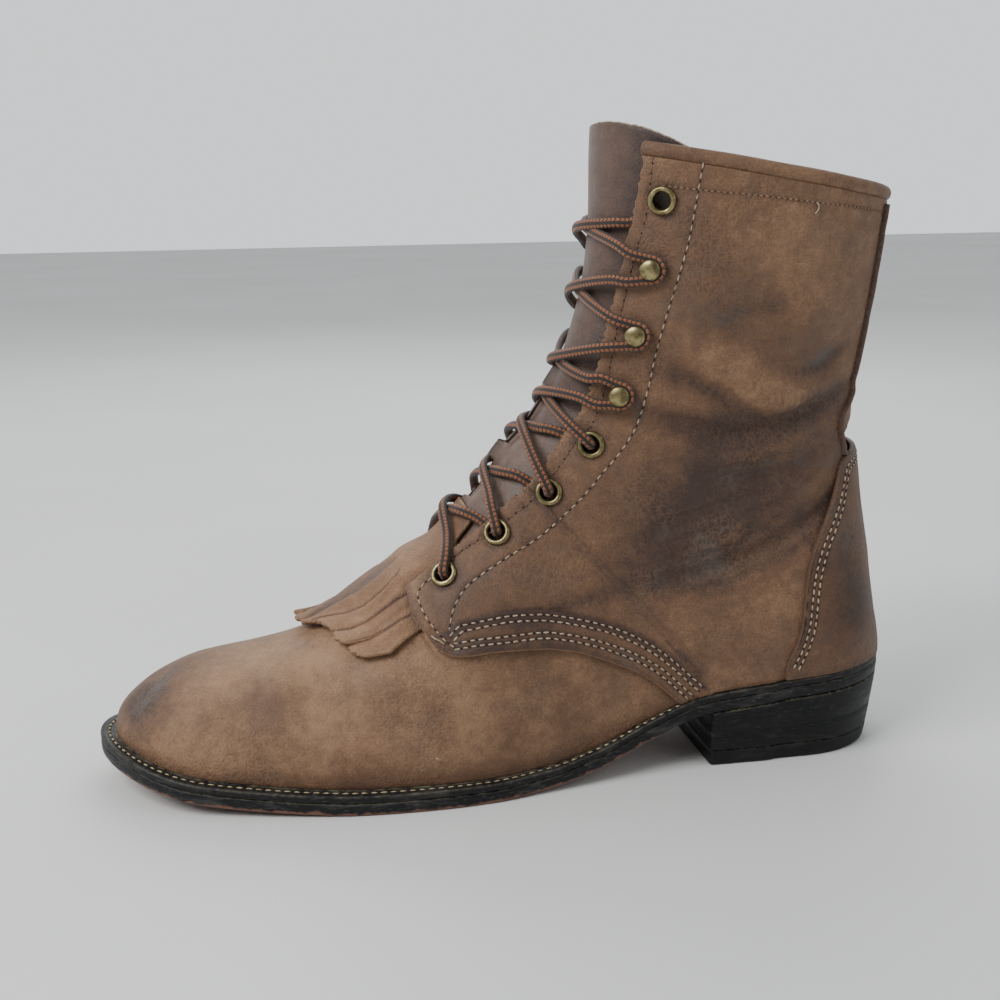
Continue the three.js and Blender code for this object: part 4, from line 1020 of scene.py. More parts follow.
# Quarters: both sides of the shaft in one, joined up the back
def build_quarters():
    pile = Pile()
    stations = station_rows(1.09, 4.0, 1.55, [
        lambda s: np.minimum(edge_of(s, 1), 178), lambda s: s * 0 + 90,
        lambda s: np.where(s < 1.69, quarter_edge(s), 150)])
    for side in (1, -1):
        floor_swing = edge_of(stations, side)
        high = np.where(stations < 1.69, np.minimum(quarter_edge(stations), floor_swing), floor_swing)
        low = throat(stations)
        across = np.linspace(0, 1, 118)
        worn_edge = 0.5 * np.random.default_rng(17).uniform(-1, 1, len(stations))[:, None] * (1 - across) ** 8
        swing = side * (low[:, None] + (high - low)[:, None] * across + worn_edge)
        at, out = on_last(stations[:, None], swing)
        grounded = (stations < 2) & (high >= floor_swing - 0.01)
        out[grounded, -1, 2] = 0
        out[grounded, -1] = unit(out[grounded, -1])
        relief, tone = quarter_relief(at, np.broadcast_to(stations[:, None], swing.shape), swing, side)
        holes = []
        for place_station, place_swing in eyelet_spots:
            centre, axis = on_last(place_station, place_swing * side)
            holes.append((centre, axis, fitting_radius["drilled"]))
        seat = int(np.searchsorted(stations, 2.0))
        over_flap = smooth(1.17, 1.13, stations)[:, None] * smooth(60, 52, np.abs(swing))
        under = lerp(-wall + 0.9 * np.minimum(relief - quarter_step, 0), relief - 1.5, over_flap)
        skin(pile, at, out, relief, under, joined=[("right", seat - 1, None)], holes=holes, tone=tone,
             bulge=0.35)
    return pile.piece("quarters", [upper_leather, lining_leather])


# Counter round the heel, with its stitches, and the piping up the back seam
counter_top = curve_of([  # (bearing from straight back, height as a share of the shaft)
    (0, 0.548), (20, 0.544), (41, 0.532), (54.5, 0.468), (65, 0.423), (71, 0.384), (75, 0.333), (77.5, 0.25),
    (86, 0.175)])
counter_face = quarter_step + 2.2 * clearance
back_seam = curve_of([  # (height as a share of the shaft, bearing)
    (0.54, 38), (0.598, 42), (0.654, 28), (0.738, 28), (0.86, 31), (0.981, 30), (1.1, 29)])
seam_foot = float(counter_top(38)) * shaft_height  # the back seam starts here, on the counter's edge


def heel_feather(bearing):
    height = np.full(np.shape(bearing), float(feather_height(heel_point)))
    for _ in range(10):
        height = feather_height(around_heel(height, bearing)[0][..., 0])
    return height


def counter_line(inset):
    """A line in mm inside the counter's upper edge, from the welt on one side to the other."""
    bearing = np.linspace(-85, 85, 500)
    height = counter_top(np.abs(bearing)) * shaft_height
    at, out = around_heel(height, bearing)
    run = unit(np.gradient(at, axis=0))
    inward = unit(np.cross(run, out))
    inward *= np.sign(-inward[len(bearing) // 2, 2])
    moved = at + inward * inset
    new_bearing = np.degrees(np.arctan2(-moved[:, 1], moved[:, 0] - heel_middle_x))
    at, out = around_heel(moved[:, 2], new_bearing)
    seat = feather_height(at[:, 0]) + 0.5
    keep = at[:, 2] > seat
    at, out = at[keep], out[keep]
    gap = run_along(at)
    t = np.linspace(0, gap[-1], int(gap[-1] / 0.7))
    return (np.stack([np.interp(t, gap, at[:, k]) for k in range(3)], -1),
            unit(np.stack([np.interp(t, gap, out[:, k]) for k in range(3)], -1)))


counter_rows = {inset: counter_line(inset) for inset in (2.4, 4.5)}


def counter_relief(at, from_edge):
    relief = counter_face + counter_thickness + 0.25 * lumps(at, 14, 21) + 0.1 * lumps(at, 6, 22)
    relief -= 0.5 * smooth(1.6, 0.0, from_edge)
    relief -= 0.7 * smooth(16.0, 0.0, at[..., 2] - feather_height(at[..., 0]))
    for points, _ in counter_rows.values():
        relief -= 0.3 * dent(nearest(at, points)[0], 0.9)
    return relief


def build_counter():
    pile = Pile()
    edge = np.linspace(-86, 86, 1400)
    line, _ = around_heel(counter_top(np.abs(edge)) * shaft_height, edge)
    run = run_along(line)
    bearing = np.interp(np.linspace(0, run[-1], 150), run, edge)
    seat = heel_feather(bearing)
    height = lerp(seat, counter_top(np.abs(bearing)) * shaft_height, np.linspace(0, 1, 62)[:, None])
    at, out = around_heel(height, np.broadcast_to(bearing, height.shape))
    out[0, :, 2] = 0
    out[0] = unit(out[0])
    from_edge = nearest(at, line[::6])[0]
    relief = counter_relief(at, from_edge)
    # Darker at the top edge, the leather's own edge colour, and towards the welt, painted shade at the join.
    tone = patch_tone(at, "counter") - 0.3 * smooth(3.0, 0.4, from_edge) - 0.3 * smooth(5, 0, height - seat)
    # Painted shade in the stitch grooves.
    for points, _ in counter_rows.values():
        tone = tone - 0.28 * dent(nearest(at, points)[0], 0.9)
    skin(pile, at, out, relief, 0.6, tone=tone, bulge=0.45)
    return pile.piece("heel_counter_leather", [trim_leather, lining_leather])


def seam_places(low, rim, step, count):
    """Places up the back seam, a step in mm beside it, with the seam's own inward dents."""
    height = np.linspace(low, rim, count)
    bearing = back_seam(height / shaft_height)
    across = np.degrees(np.atleast_1d(step) / heel_radius)
    at, out = around_heel(height[:, None], bearing[:, None] + across[None, :])
    return at, out, fold_relief(at, 1) + 0.5 * lumps(at, 21, 3)


def build_piping():
    pile = Pile()
    rim = on_last(4.0, 180.0 - float(back_seam(1.1)))[0][2] - 0.8
    across = np.linspace(-1, 1, 15)
    at, out, dents = seam_places(seam_foot + 1.0, rim, across * piping_width / 2, 190)
    crown = np.sqrt(np.maximum(1 - across ** 2, 0))
    relief = quarter_step + dents + 0.15 + (piping_thickness + 0.4) * crown + 0.15 * lumps(at, 5, 41)
    skin(pile, at, out, relief, quarter_step - 0.9 + dents, tone=-0.62 + 0.5 * (crown - 0.6) + 0 * at[..., 0],
         bulge=0.1, raw=0.0)
    return pile.piece("back_piping_leather", [trim_leather, lining_leather])


def tube(pile, centre, across, up, half_width, half_height, sides, tone):
    """A tube along centre points, its section given by two directions, with domed ends."""
    turn = np.linspace(0, 2 * np.pi, sides, endpoint=False)
    ring = (centre[:, None] + across[:, None] * (np.cos(turn) * np.reshape(half_width, (-1, 1)))[..., None]
            + up[:, None] * (np.sin(turn) * np.reshape(half_height, (-1, 1)))[..., None])
    count = len(centre)
    ids = np.arange(count * sides).reshape(count, sides)
    quads = ring_quads(count, sides)
    middle = count // 2
    facing = np.cross(ring[middle, 1] - ring[middle, 0], ring[middle + 1, 0] - ring[middle, 0])
    if (facing * (ring[middle, 0] - centre[middle])).sum() < 0:
        quads = quads[:, ::-1]
        ids = ids[:, ::-1]
    tones = np.broadcast_to(np.reshape(tone, (-1, 1)) + 0 * turn, (count, sides))
    start = pile.add(ring, quads, 0, tones, 0.0)
    dome = [(0.12, 0.96), (0.22, 0.80), (0.26, 0.42)]
    for end, line, sign in ((0, ids[0], -1), (count - 1, ids[-1], 1)):
        ahead = unit(centre[end] - centre[end + (1 if end == 0 else -1)])
        previous = start + line
        for push, shrink in dome:
            points = centre[end] + (ring[end][line % sides] - centre[end]) * shrink \
                + ahead * push * float(np.min(half_height))
            fresh = pile.add(points, np.zeros((0, 4), int), 0, float(np.reshape(tone, -1)[end]), 0.3)
            loop = np.arange(fresh, fresh + sides)
            bridge = np.stack([previous, np.roll(previous, -1), np.roll(loop, -1), loop], -1)
            pile.faces.append(bridge if sign > 0 else bridge[:, ::-1])
            pile.slots.append(np.zeros(sides, int))
            previous = loop
        tip = pile.add(centre[end][None] + ahead * 0.27 * float(np.min(half_height)),
                       np.zeros((0, 4), int), 0, 0.0, 0.3)
        fan = np.stack([previous, np.roll(previous, -1), np.full(sides, tip)], -1)
        pile.faces.append(fan if sign > 0 else fan[:, ::-1])
        pile.slots.append(np.zeros(sides, int))


# Collar roll: leather turned over the rim
def build_roll():
    pile = Pile()
    start = float(throat(4.0)) - 0.6
    swing = np.linspace(start, 360 - start, 340)
    at, out = on_last(4.0, swing)
    rise = np.array([math.cos(fan_end), 0, math.sin(fan_end)])
    sag = 0.25 * lumps(at, 16, 61)
    centre = at + out * ((quarter_step - wall) / 2 + 0.35) + rise * (roll_radius + 0.25 + sag)[:, None]
    up = unit(rise - (rise * out).sum(-1, keepdims=True) * out)
    tone = 0.2 + 0.35 * lumps(at, 20, 62)
    width = roll_radius * 0.98 + 0.12 * lumps(at, 9, 63)
    tube(pile, centre, out, up, width, np.full(len(swing), roll_radius + 0.15), 18, tone)
    return pile.piece("collar_roll_leather", [trim_leather])


# Tongue
def build_tongue():
    pile = Pile()
    half = curve_of([(1.00, 22), (1.20, 34), (1.60, 31), (2.10, 29), (3.00, 31), (4.00, 35), (4.30, 36)])
    rise = curve_of([(-36, -0.04), (-26, 0.03), (-18, 0.076), (-10, 0.104), (0, 0.122), (12, 0.133),
                     (20, 0.128), (28, 0.104), (36, 0.066)])
    across = np.linspace(-1, 1, 64)
    edge = 4 + rise(across * 36) + 0.002 * np.random.default_rng(5).uniform(-1, 1, len(across))
    share = np.linspace(0, 1, 150)[:, None]
    station = lerp(1.06, edge[None, :], share)
    swing = half(station) * across
    at, out = on_last(station, swing)
    relief = tongue_face + 0.25 * lumps(at, 18, 71)
    relief += 0.35 * np.sin(swing * 0.42 + 1.2 * lumps(at, 30, 72)) * smooth(3.2, 1.6, station)
    relief -= 0.5 * dent(station - 2.45, 0.06) * dent(across, 0.8) + 0.4 * dent(station - 2.95, 0.05)
    relief = relief + 1.0 * smooth(3.9, 4.12, station) * np.abs(across) ** 2
    # Lighter low down; the sides darken towards and under the quarters' edges, painted shade; a lighter strip
    # runs down the middle near the top.
    tone = 0.35 * smooth(3.0, 1.5, station) - 0.75 * smooth(0.25, 0.75, np.abs(across - 0.05)) \
        * smooth(2.4, 3.0, station) + 0.3 * dent(across + 0.05, 0.14) * smooth(3.2, 4.0, station)
    skin(pile, at, out, relief, relief - tongue_thickness, tone=tone, bulge=0.5)
    return pile.piece("tongue_leather_piece", [tongue_leather, lining_leather])


# Kiltie: the loose flap, its long slits bending with it, its rear under the eyestays
fringe_cuts = [-45, -28, -11, 1, 11, 28, 45]
finger_curl = [0.8, 2.2, 3.2, 2.4, 1.6, 1.2, 1.3, 0.9]  # mm at each tip
finger_twist = [0.2, -0.9, 1.2, -0.8, 0.7, -0.6, 0.5, 0.4]
cut_reach = [1.0, 0.985, 0.97, 0.95, 0.96, 0.985, 0.99]  # station where each slit ends
KILTIE = [  # column, tip, rear
    (-57.5, 0.978, 0.999), (-57, 0.968, 1.012), (-54, 0.942, 1.130), (-45, 0.898, 1.135), (-28, 0.862, 1.150),
    (-22, 0.836, 1.300), (-14, 0.818, 1.330), (-10, 0.818, 1.440), (10, 0.843, 1.440), (14, 0.866, 1.330),
    (22, 0.884, 1.300), (28, 0.890, 1.150), (45, 0.914, 1.135), (54, 0.946, 1.130), (57, 0.975, 1.012),
    (57.5, 0.984, 0.999)]
bend_columns = [0, 11, 28, 45, 54, 57.5]
bend_stations = [0.84, 0.88, 0.93, 0.965, 1.0, 1.05, 1.1, 1.2, 1.44]
bend_swings = np.array([
    [0, 3, 7, 9, 8, 4, 1, 0, 0], [11, 14, 21, 24, 22, 18, 15, 13, 12], [28, 29, 35, 36, 34, 31, 27.5, 26, 25],
    [45, 45, 45, 46, 45, 42, 39, 37, 36], [54, 54, 54, 54, 53.5, 50, 46, 44, 43],
    [57.5, 57.5, 57.5, 57.5, 57, 52, 48, 46, 45]])


def bent_swing(column, station):
    """Swing of a column of the flap at a station: the slits bow outward and then run up to the eyestay."""
    lines = np.stack([np.interp(station, bend_stations, row) for row in bend_swings])
    place = np.interp(np.abs(column), bend_columns, np.arange(len(bend_columns)))
    low = np.minimum(place.astype(int), len(bend_columns) - 2)
    rows = np.broadcast_to(low, station.shape)[None]
    below = np.take_along_axis(lines, rows, 0)[0]
    above = np.take_along_axis(lines, rows + 1, 0)[0]
    return np.sign(column) * lerp(below, above, place - low)


def build_kiltie():
    pile = Pile()
    rim = curve_of([row[:2] for row in KILTIE])
    end = curve_of([(row[0], row[2]) for row in KILTIE])
    column, fingers = [], []
    bounds = [-57.5] + fringe_cuts + [57.5]
    for finger, (low, high) in enumerate(zip(bounds[:-1], bounds[1:])):
        gap = 0.42
        inner = np.linspace(low + gap * (finger > 0), high - gap * (finger < len(bounds) - 2),
                            int((high - low) / 0.85) + 4)
        column.extend(inner)
        fingers.extend([finger] * len(inner))
    column, fingers = np.array(column), np.array(fingers)
    share = np.concatenate([np.linspace(0, 0.42, 56), np.linspace(0.42, 1, 70)[1:]])[:, None]
    fuzz = 0.004 * np.random.default_rng(8).uniform(-1, 1, len(column))
    middle_of_finger = np.array([(bounds[k] + bounds[k + 1]) / 2 for k in fingers])
    half_of = np.array([(bounds[k + 1] - bounds[k]) / 2 for k in fingers])
    across = (column - middle_of_finger) / half_of
    tip = rim(column) + fuzz + 0.016 * np.abs(across) ** 3
    station = lerp(tip[None, :], end(column)[None, :], share)
    swing = bent_swing(column, station)
    at, out = on_last(station, swing)
    run = np.concatenate([np.zeros((1, len(column))),
                          np.cumsum(np.linalg.norm(np.diff(at, axis=0), axis=-1), axis=0)])
    beside = smooth(18, 27, np.abs(swing))
    sunk = kiltie_lift - tongue_face - 0.6
    tail = kiltie_lift - sunk * smooth(1.09, 1.25, station)
    tucked = kiltie_lift - 2.0 * smooth(1.035, 1.092, station) - 1.2 * smooth(1.11, 1.2, station)
    low = lerp(tail, tucked, beside)
    curl = np.array(finger_curl)[fingers]
    twist = np.array(finger_twist)[fingers]
    free = np.clip(1 - run / 20, 0, 1)
    lift = curl * free ** 1.8 + twist * across * free ** 1.2 - 0.9 * (across ** 2 - 0.3) * free ** 0.6
    lift = lift + 0.35 * lumps(at, 12, 81) * smooth(1.09, 1.0, station)
    lift = lift + 3.2 * dent(swing, 16) * smooth(1.08, 0.95, station) * smooth(0.82, 0.93, station)
    pleats = (0.35 * np.sin(column * 0.55 + 0.8 * lumps(at, 16, 82)) * smooth(4, 16, run)
              * smooth(1.4, 1.1, station))
    cut_gap = np.full(column.shape, 99.0)
    for cut in fringe_cuts:
        cut_gap = np.minimum(cut_gap, np.abs(column - cut))
    # Along each slit a shallow groove, painted dark: painted shade in the cut.
    groove = dent(cut_gap, 1.0)[None, :] * smooth(1.10, 1.07, station)
    raised = np.maximum(lift + pleats * smooth(1.09, 1.04, station), -0.5)
    top = low + kiltie_thickness + raised - 0.5 * groove
    # Darker where the flap tucks under the tab and towards its rear under the eyestays and laces: painted
    # shade.
    tone = 0.35 * lumps(at, 10, 83) - 0.8 * smooth(1.06, 1.092, station) * beside - 1.1 * groove \
        - 0.35 * smooth(1.08, 1.3, station) + 0.25 * dent(run, 3.0) \
        - 0.3 * dent(np.abs(column)[None, :] - 34, 7) * smooth(0.98, 1.04, station) + 0.15
    keep = np.ones((station.shape[0] - 1, station.shape[1] - 1), bool)
    for j in range(len(column) - 1):
        if fingers[j] != fingers[j + 1]:
            keep[:, j] = station[:-1, j] >= cut_reach[fingers[j]]
    skin(pile, at, out, top, top - kiltie_thickness, cut=keep, tone=tone, inside_slot=0, bulge=0.7)
    return pile.piece("kiltie_fringe", [kiltie_leather])


# Small marks of wear: a pulled thread below the collar, a thread end at the tab and a pale fleck
loose_threads = [  # station, swing, lift
    [(3.925, 84.6, 1.6), (3.915, 85.8, 2.0), (3.895, 86.2, 1.9), (3.875, 85.4, 1.5)],
    [(1.136, 52.5, 2.6), (1.146, 54.0, 3.2), (1.158, 55.0, 3.1), (1.168, 56.5, 2.5)],
    [(1.088, 103.6, 0.1), (1.092, 104.0, 0.35), (1.097, 104.6, 0.1)],
]


def build_threads():
    pile = Pile()
    for knots in loose_threads:
        rows = np.array(knots)
        share = np.linspace(0, 1, 14)
        place = [np.interp(share, np.linspace(0, 1, len(rows)), rows[:, k]) for k in range(3)]
        at, out = on_last(place[0], place[1])
        centre = at + out * place[2][:, None]
        run = unit(np.gradient(centre, axis=0))
        across = unit(np.cross(run, out))
        tube(pile, centre, across, np.cross(across, run), 0.24, np.full(len(centre), 0.2), 8,
             np.zeros(len(centre)))
    return pile.piece("loose_threads", [cream_thread])


ride(build_vamp(), "upper_leather", "upper")
ride(build_quarters(), "upper_leather", "upper")
ride(build_counter(), "trim_leather", "heel_counter")
ride(build_piping(), "trim_leather", "back_piping")
ride(build_roll(), "trim_leather", "collar_roll")
ride(build_tongue(), "tongue_leather", "tongue")
ride(build_kiltie(), "trim_leather", "kiltie")
ride(build_threads(), "trim_leather")


# Laces: each runs out of an eyelet, over the eyestay, across and under the other edge
lace_half_width = 1.95
lace_half_height = 1.35


def lace_route(side):
    """Knots (station, swing, lift) of one lace from the first eyelet to the top one."""
    on_tongue = tongue_face + lace_half_height + 0.15
    on_kiltie = on_tongue + kiltie_thickness + 0.6
    over = 2 * lace_half_height + 0.15
    on_quarter = quarter_step + lace_half_height + 0.35
    way = side
    first = eyelet_spots[0]
    knots = [(first[0] - 0.01, way * (first[1] - 5), -3.0), (first[0], way * first[1], -2.6)]
    for k in range(3):
        (s0, w0), (s1, w1) = eyelet_spots[k], eyelet_spots[k + 1]
        rest = on_kiltie if k == 0 else on_tongue
        top = over if (k % 2 == 0) == (side > 0) else 0.0
        knots += [
            (s0, way * w0, 0.6), (lerp(s0, s1, 0.03), way * (w0 - 0.8), 2.9),
            (lerp(s0, s1, 0.15), way * (w0 - 5.5), on_quarter + 0.9),
            (lerp(s0, s1, 0.28), way * throat(s0) * 0.62, max(rest + 1.6, on_quarter - 0.8)),
            (lerp(s0, s1, 0.50), 0, rest + top + 0.15),
            (lerp(s0, s1, 0.68), -way * throat(s1) * 0.48, rest + 0.6),
            (lerp(s0, s1, 0.84), -way * (throat(s1) - 4.0), on_tongue + 0.7),
            (lerp(s0, s1, 0.93), -way * (throat(s1) + 1.0), -2.5),
            (s1, -way * w1, -2.7),
        ]
        way = -way
    before = eyelet_spots[3]
    knots += [(before[0], way * before[1], 0.6), (before[0] + 0.02, way * (before[1] - 0.8), 2.9)]
    station = before[0]
    knots.append((lerp(station, hook_spots[0][0], 0.16), way * (throat(station) + 0.5), on_quarter + 0.8))
    for k, (s1, w1) in enumerate(hook_spots):
        top = over if (k % 2 == 0) == (side > 0) else 0.0
        if k:
            knots.append((lerp(station, s1, 0.24), way * (throat(station) - 0.5), on_quarter + 0.9))
        knots.append((lerp(station, s1, 0.50), 0, on_tongue + top + 0.15))
        way = -way
        knots.append((lerp(station, s1, 0.76), way * (throat(s1) - 1.5), on_quarter + 0.5))
        knots.append(("hook", k, way))
        station = s1
    top_spot = eyelet_spots[4]
    knots += [
        (station + 0.085, way * (throat(station) - 0.5), on_quarter + 0.9),
        (station + 0.140, 0, on_tongue + (over if side < 0 else 0.0) + 0.15),
        (station + 0.180, -way * (throat(station) - 4.5), on_tongue + 0.7),
        (station + 0.195, -way * (throat(station) + 1.0), -2.5),
        (top_spot[0] - 0.02, -way * (top_spot[1] - 2), -2.8),
    ]
    return knots


def hook_turn(k, side):
    """Points round the back of a hook, from below it to above it."""
    station, swing = hook_spots[k]
    at, out = on_last(station, swing * side)
    ahead = unit(spot(station + 0.02, swing * side) - at)
    rear = unit(np.cross(ahead, out)) * side
    height = quarter_step + 0.9 + lace_half_height
    radius = 1.5 + lace_half_width + 0.1
    shape = [(-1.35, -2.2), (-1.08, -0.7), (-0.80, 0.62), (0, 1.02), (0.80, 0.62), (1.08, -0.7), (1.35, -2.2)]
    line = [at + out * (height + 0.25 * abs(b)) + ahead * (a * radius) + rear * (b * radius)
            for a, b in shape]
    return line, out


def smooth_path(points, pitch):
    """A centripetal spline through points, at an even pitch, with the share of each knot."""
    points = np.asarray(points)
    padded = np.concatenate([2 * points[:1] - points[1:2], points, 2 * points[-1:] - points[-2:-1]])
    knots = np.concatenate([[0], np.cumsum(np.linalg.norm(np.diff(padded, axis=0), axis=1) ** 0.5)])
    dense, index = [], []
    for i in range(1, len(padded) - 2):
        p0, p1, p2, p3 = padded[i - 1:i + 3]
        t0, t1, t2, t3 = knots[i - 1:i + 3]
        t = np.linspace(t1, t2, 24, endpoint=i == len(padded) - 3)[:, None]
        a1 = (t1 - t) / (t1 - t0) * p0 + (t - t0) / (t1 - t0) * p1
        a2 = (t2 - t) / (t2 - t1) * p1 + (t - t1) / (t2 - t1) * p2
        a3 = (t3 - t) / (t3 - t2) * p2 + (t - t2) / (t3 - t2) * p3
        b1 = (t2 - t) / (t2 - t0) * a1 + (t - t0) / (t2 - t0) * a2
        b2 = (t3 - t) / (t3 - t1) * a2 + (t - t1) / (t3 - t1) * a3
        dense.append((t2 - t) / (t2 - t1) * b1 + (t - t1) / (t2 - t1) * b2)
        index.append(i - 1 + (t[:, 0] - t1) / (t2 - t1))
    dense, index = np.concatenate(dense), np.concatenate(index)
    run = run_along(dense)
    even = np.linspace(0, run[-1], max(int(run[-1] / pitch), 4) + 1)
    spots = np.stack([np.interp(even, run, dense[:, k]) for k in range(3)], -1)
    return spots, np.interp(even, run, index), even


def build_lace(name, side):
    points, outs = [], []
    for knot in lace_route(side):
        if knot[0] == "hook":
            turn, out = hook_turn(knot[1], knot[2])
            points.extend(turn)
            outs.extend([out] * len(turn))
        else:
            at, out = on_last(knot[0], knot[1])
            points.append(at + out * knot[2])
            outs.append(out)
    centre, index, run = smooth_path(points, 0.9)
    outs = np.array(outs)
    up = np.stack([np.interp(index, np.arange(len(outs)), outs[:, k]) for k in range(3)], -1)
    tangent = unit(np.gradient(centre, axis=0))
    up = unit(up - (up * tangent).sum(-1, keepdims=True) * tangent)
    for _ in range(6):
        up[1:-1] = unit(up[:-2] + up[1:-1] * 2 + up[2:])
    across = unit(np.cross(tangent, up))
    up = np.cross(across, tangent)
    sides = 14
    turn = np.linspace(0, 2 * np.pi, sides, endpoint=False)
    swell = 1 + 0.03 * np.sin(run * 3.6)
    ring = (centre[:, None] + across[:, None] * (np.cos(turn) * lace_half_width * swell[:, None])[..., None]
            + up[:, None] * (np.sign(np.sin(turn)) * np.abs(np.sin(turn)) ** 0.9
                             * lace_half_height * swell[:, None])[..., None])
    count = len(centre)
    column = np.arange(sides)
    row = np.arange(count - 1)[:, None]
    following = (column + 1) % sides
    faces = np.stack([(row + 1) * sides + column, (row + 1) * sides + following, row * sides + following,
                      row * sides + column], -1).reshape(-1, 4)
    u = np.stack([run[:-1, None] + 0 * column, run[:-1, None] + 0 * column,
                  run[1:, None] + 0 * column, run[1:, None] + 0 * column], -1)
    v = np.stack([column, column + 1, column + 1, column], -1)[None] / sides + 0 * u
    uv = np.stack([u, v], -1).reshape(-1, 4, 2)[:, ::-1]
    ends = [list(range(sides)), [(count - 1) * sides + j for j in range(sides)][::-1]]
    mesh = bpy.data.meshes.new(name)
    mesh.from_pydata(((ring.reshape(-1, 3) + source_origin) * MM).tolist(), [], faces.tolist() + ends)
    layer = mesh.uv_layers.new(name="run")
    values = np.concatenate([uv.reshape(-1, 2), np.zeros((2 * sides, 2))])
    layer.data.foreach_set("uv", values.astype(np.float32).ravel())
    mesh.polygons.foreach_set("use_smooth", np.ones(len(mesh.polygons), bool))
    mesh.materials.append(lace_cord)
    return add_object(name, mesh)


# Geometry Nodes: what is set in rows and along seams
def new_tree(name, inputs):
    tree = bpy.data.node_groups.new(name, "GeometryNodeTree")
    tree.interface.new_socket("Geometry", in_out="INPUT", socket_type="NodeSocketGeometry")
    for label, kind in inputs:
        tree.interface.new_socket(label, in_out="INPUT", socket_type=kind)
    tree.interface.new_socket("Geometry", in_out="OUTPUT", socket_type="NodeSocketGeometry")
    return tree


def node_maker(tree):
    def make(kind, sockets=None, **settings):
        node = tree.nodes.new(kind)
        for key, value in settings.items():
            setattr(node, key, value)
        for key, value in (sockets or {}).items():
            socket = node.inputs[key]
            if isinstance(value, bpy.types.NodeSocket):
                tree.links.new(value, socket)
            else:
                socket.default_value = value
        return node
    return make


def finished_tree(tree, make, placed, finish):
    """Ends a tree with its instances made real and given their finish."""
    real = make("GeometryNodeRealizeInstances", {0: placed}).outputs[0]
    finished = make("GeometryNodeSetMaterial", {"Geometry": real, "Material": finish}).outputs[0]
    tree.links.new(finished, make("NodeGroupOutput").inputs[0])
    return tree


def stitch_tree():
    """Stitches and the needle holes between them, the holes as dark beads of painted shade, along the edges
    of a mesh of seam lines.
    """
    number = "NodeSocketFloat"
    tree = new_tree("stitches_along_seams", [
        ("Pitch", number), ("Stitch length", number), ("Thread width", number), ("Thread height", number),
        ("Hole length", number), ("Uneven", number), ("Seed", "NodeSocketInt"),
        ("Thread", "NodeSocketMaterial"), ("Hole", "NodeSocketMaterial")])
    make = node_maker(tree)
    given = make("NodeGroupInput").outputs
    outward_name = make("GeometryNodeInputNamedAttribute", {"Name": "outward"}, data_type="FLOAT_VECTOR")
    seam = make("GeometryNodeMeshToCurve", {"Mesh": given["Geometry"]})
    half = make("ShaderNodeMath", {0: given["Pitch"], 1: 0.5}, operation="MULTIPLY").outputs[0]
    even = make("GeometryNodeResampleCurve", {"Curve": seam.outputs[0], "Length": half}, mode="LENGTH")
    tangent = make("GeometryNodeInputTangent").outputs[0]
    facing = make("FunctionNodeAxesToRotation",
                  {"Primary Axis": outward_name.outputs[0], "Secondary Axis": tangent},
                  primary_axis="Z", secondary_axis="X").outputs[0]
    index = make("GeometryNodeInputIndex").outputs[0]
    odd = make("ShaderNodeMath", {0: index, 1: 2.0}, operation="MODULO").outputs[0]
    is_stitch = make("FunctionNodeCompare", {0: odd, 1: 0.5}, data_type="FLOAT",
                     operation="LESS_THAN").outputs[0]
    is_hole = make("FunctionNodeBooleanMath", {0: is_stitch}, operation="NOT").outputs[0]
    bead = make("GeometryNodeMeshUVSphere", {"Segments": 8, "Rings": 5, "Radius": 1.0}).outputs["Mesh"]

    def sized(length, width, height):
        joined = make("ShaderNodeCombineXYZ", {0: length, 1: width, 2: height}).outputs[0]
        return make("ShaderNodeVectorMath", {0: joined, "Scale": 0.5 * MM}, operation="SCALE").outputs[0]

    grow = make("ShaderNodeMath", {0: given["Uneven"], 1: 1.0}, operation="ADD").outputs[0]
    shrink = make("ShaderNodeMath", {0: 1.0, 1: given["Uneven"]}, operation="SUBTRACT").outputs[0]
    chance = make("FunctionNodeRandomValue", {"Seed": given["Seed"]}, data_type="FLOAT")
    tree.links.new(shrink, chance.inputs[2])
    tree.links.new(grow, chance.inputs[3])
    uneven_size = make("ShaderNodeVectorMath",
                       {0: sized(given["Stitch length"], given["Thread width"], given["Thread height"]),
                        "Scale": chance.outputs[1]}, operation="SCALE").outputs[0]
    skew = make("FunctionNodeRandomValue", {"Seed": given["Seed"]}, data_type="FLOAT")
    skew.inputs[2].default_value = -0.16
    skew.inputs[3].default_value = 0.10
    angles = make("ShaderNodeCombineXYZ", {2: skew.outputs[1]}).outputs[0]
    turned = make("FunctionNodeEulerToRotation", {0: angles})
    jittered = make("FunctionNodeRotateRotation", {"Rotation": facing, "Rotate By": turned.outputs[0]},
                    rotation_space="LOCAL").outputs[0]
    stitches = make("GeometryNodeInstanceOnPoints", {
        "Points": even.outputs[0], "Selection": is_stitch, "Instance": bead, "Rotation": jittered,
        "Scale": uneven_size}).outputs[0]
    # Dark beads at the needle holes: painted shade.
    pits = make("GeometryNodeInstanceOnPoints", {
        "Points": even.outputs[0], "Selection": is_hole, "Instance": bead, "Rotation": facing,
        "Scale": sized(given["Hole length"], given["Thread width"], given["Thread width"])}).outputs[0]
    flat_bead = {}
    for label, instances, finish in (("thread", stitches, given["Thread"]), ("hole", pits, given["Hole"])):
        real = make("GeometryNodeRealizeInstances", {0: instances}).outputs[0]
        rounded = make("GeometryNodeSetShadeSmooth", {0: real}).outputs[0]
        flat_bead[label] = make("GeometryNodeSetMaterial",
                                {"Geometry": rounded, "Material": finish}).outputs[0]
    both = make("GeometryNodeJoinGeometry")
    tree.links.new(flat_bead["hole"], both.inputs[0])
    tree.links.new(flat_bead["thread"], both.inputs[0])
    tree.links.new(both.outputs[0], make("NodeGroupOutput").inputs[0])
    return tree


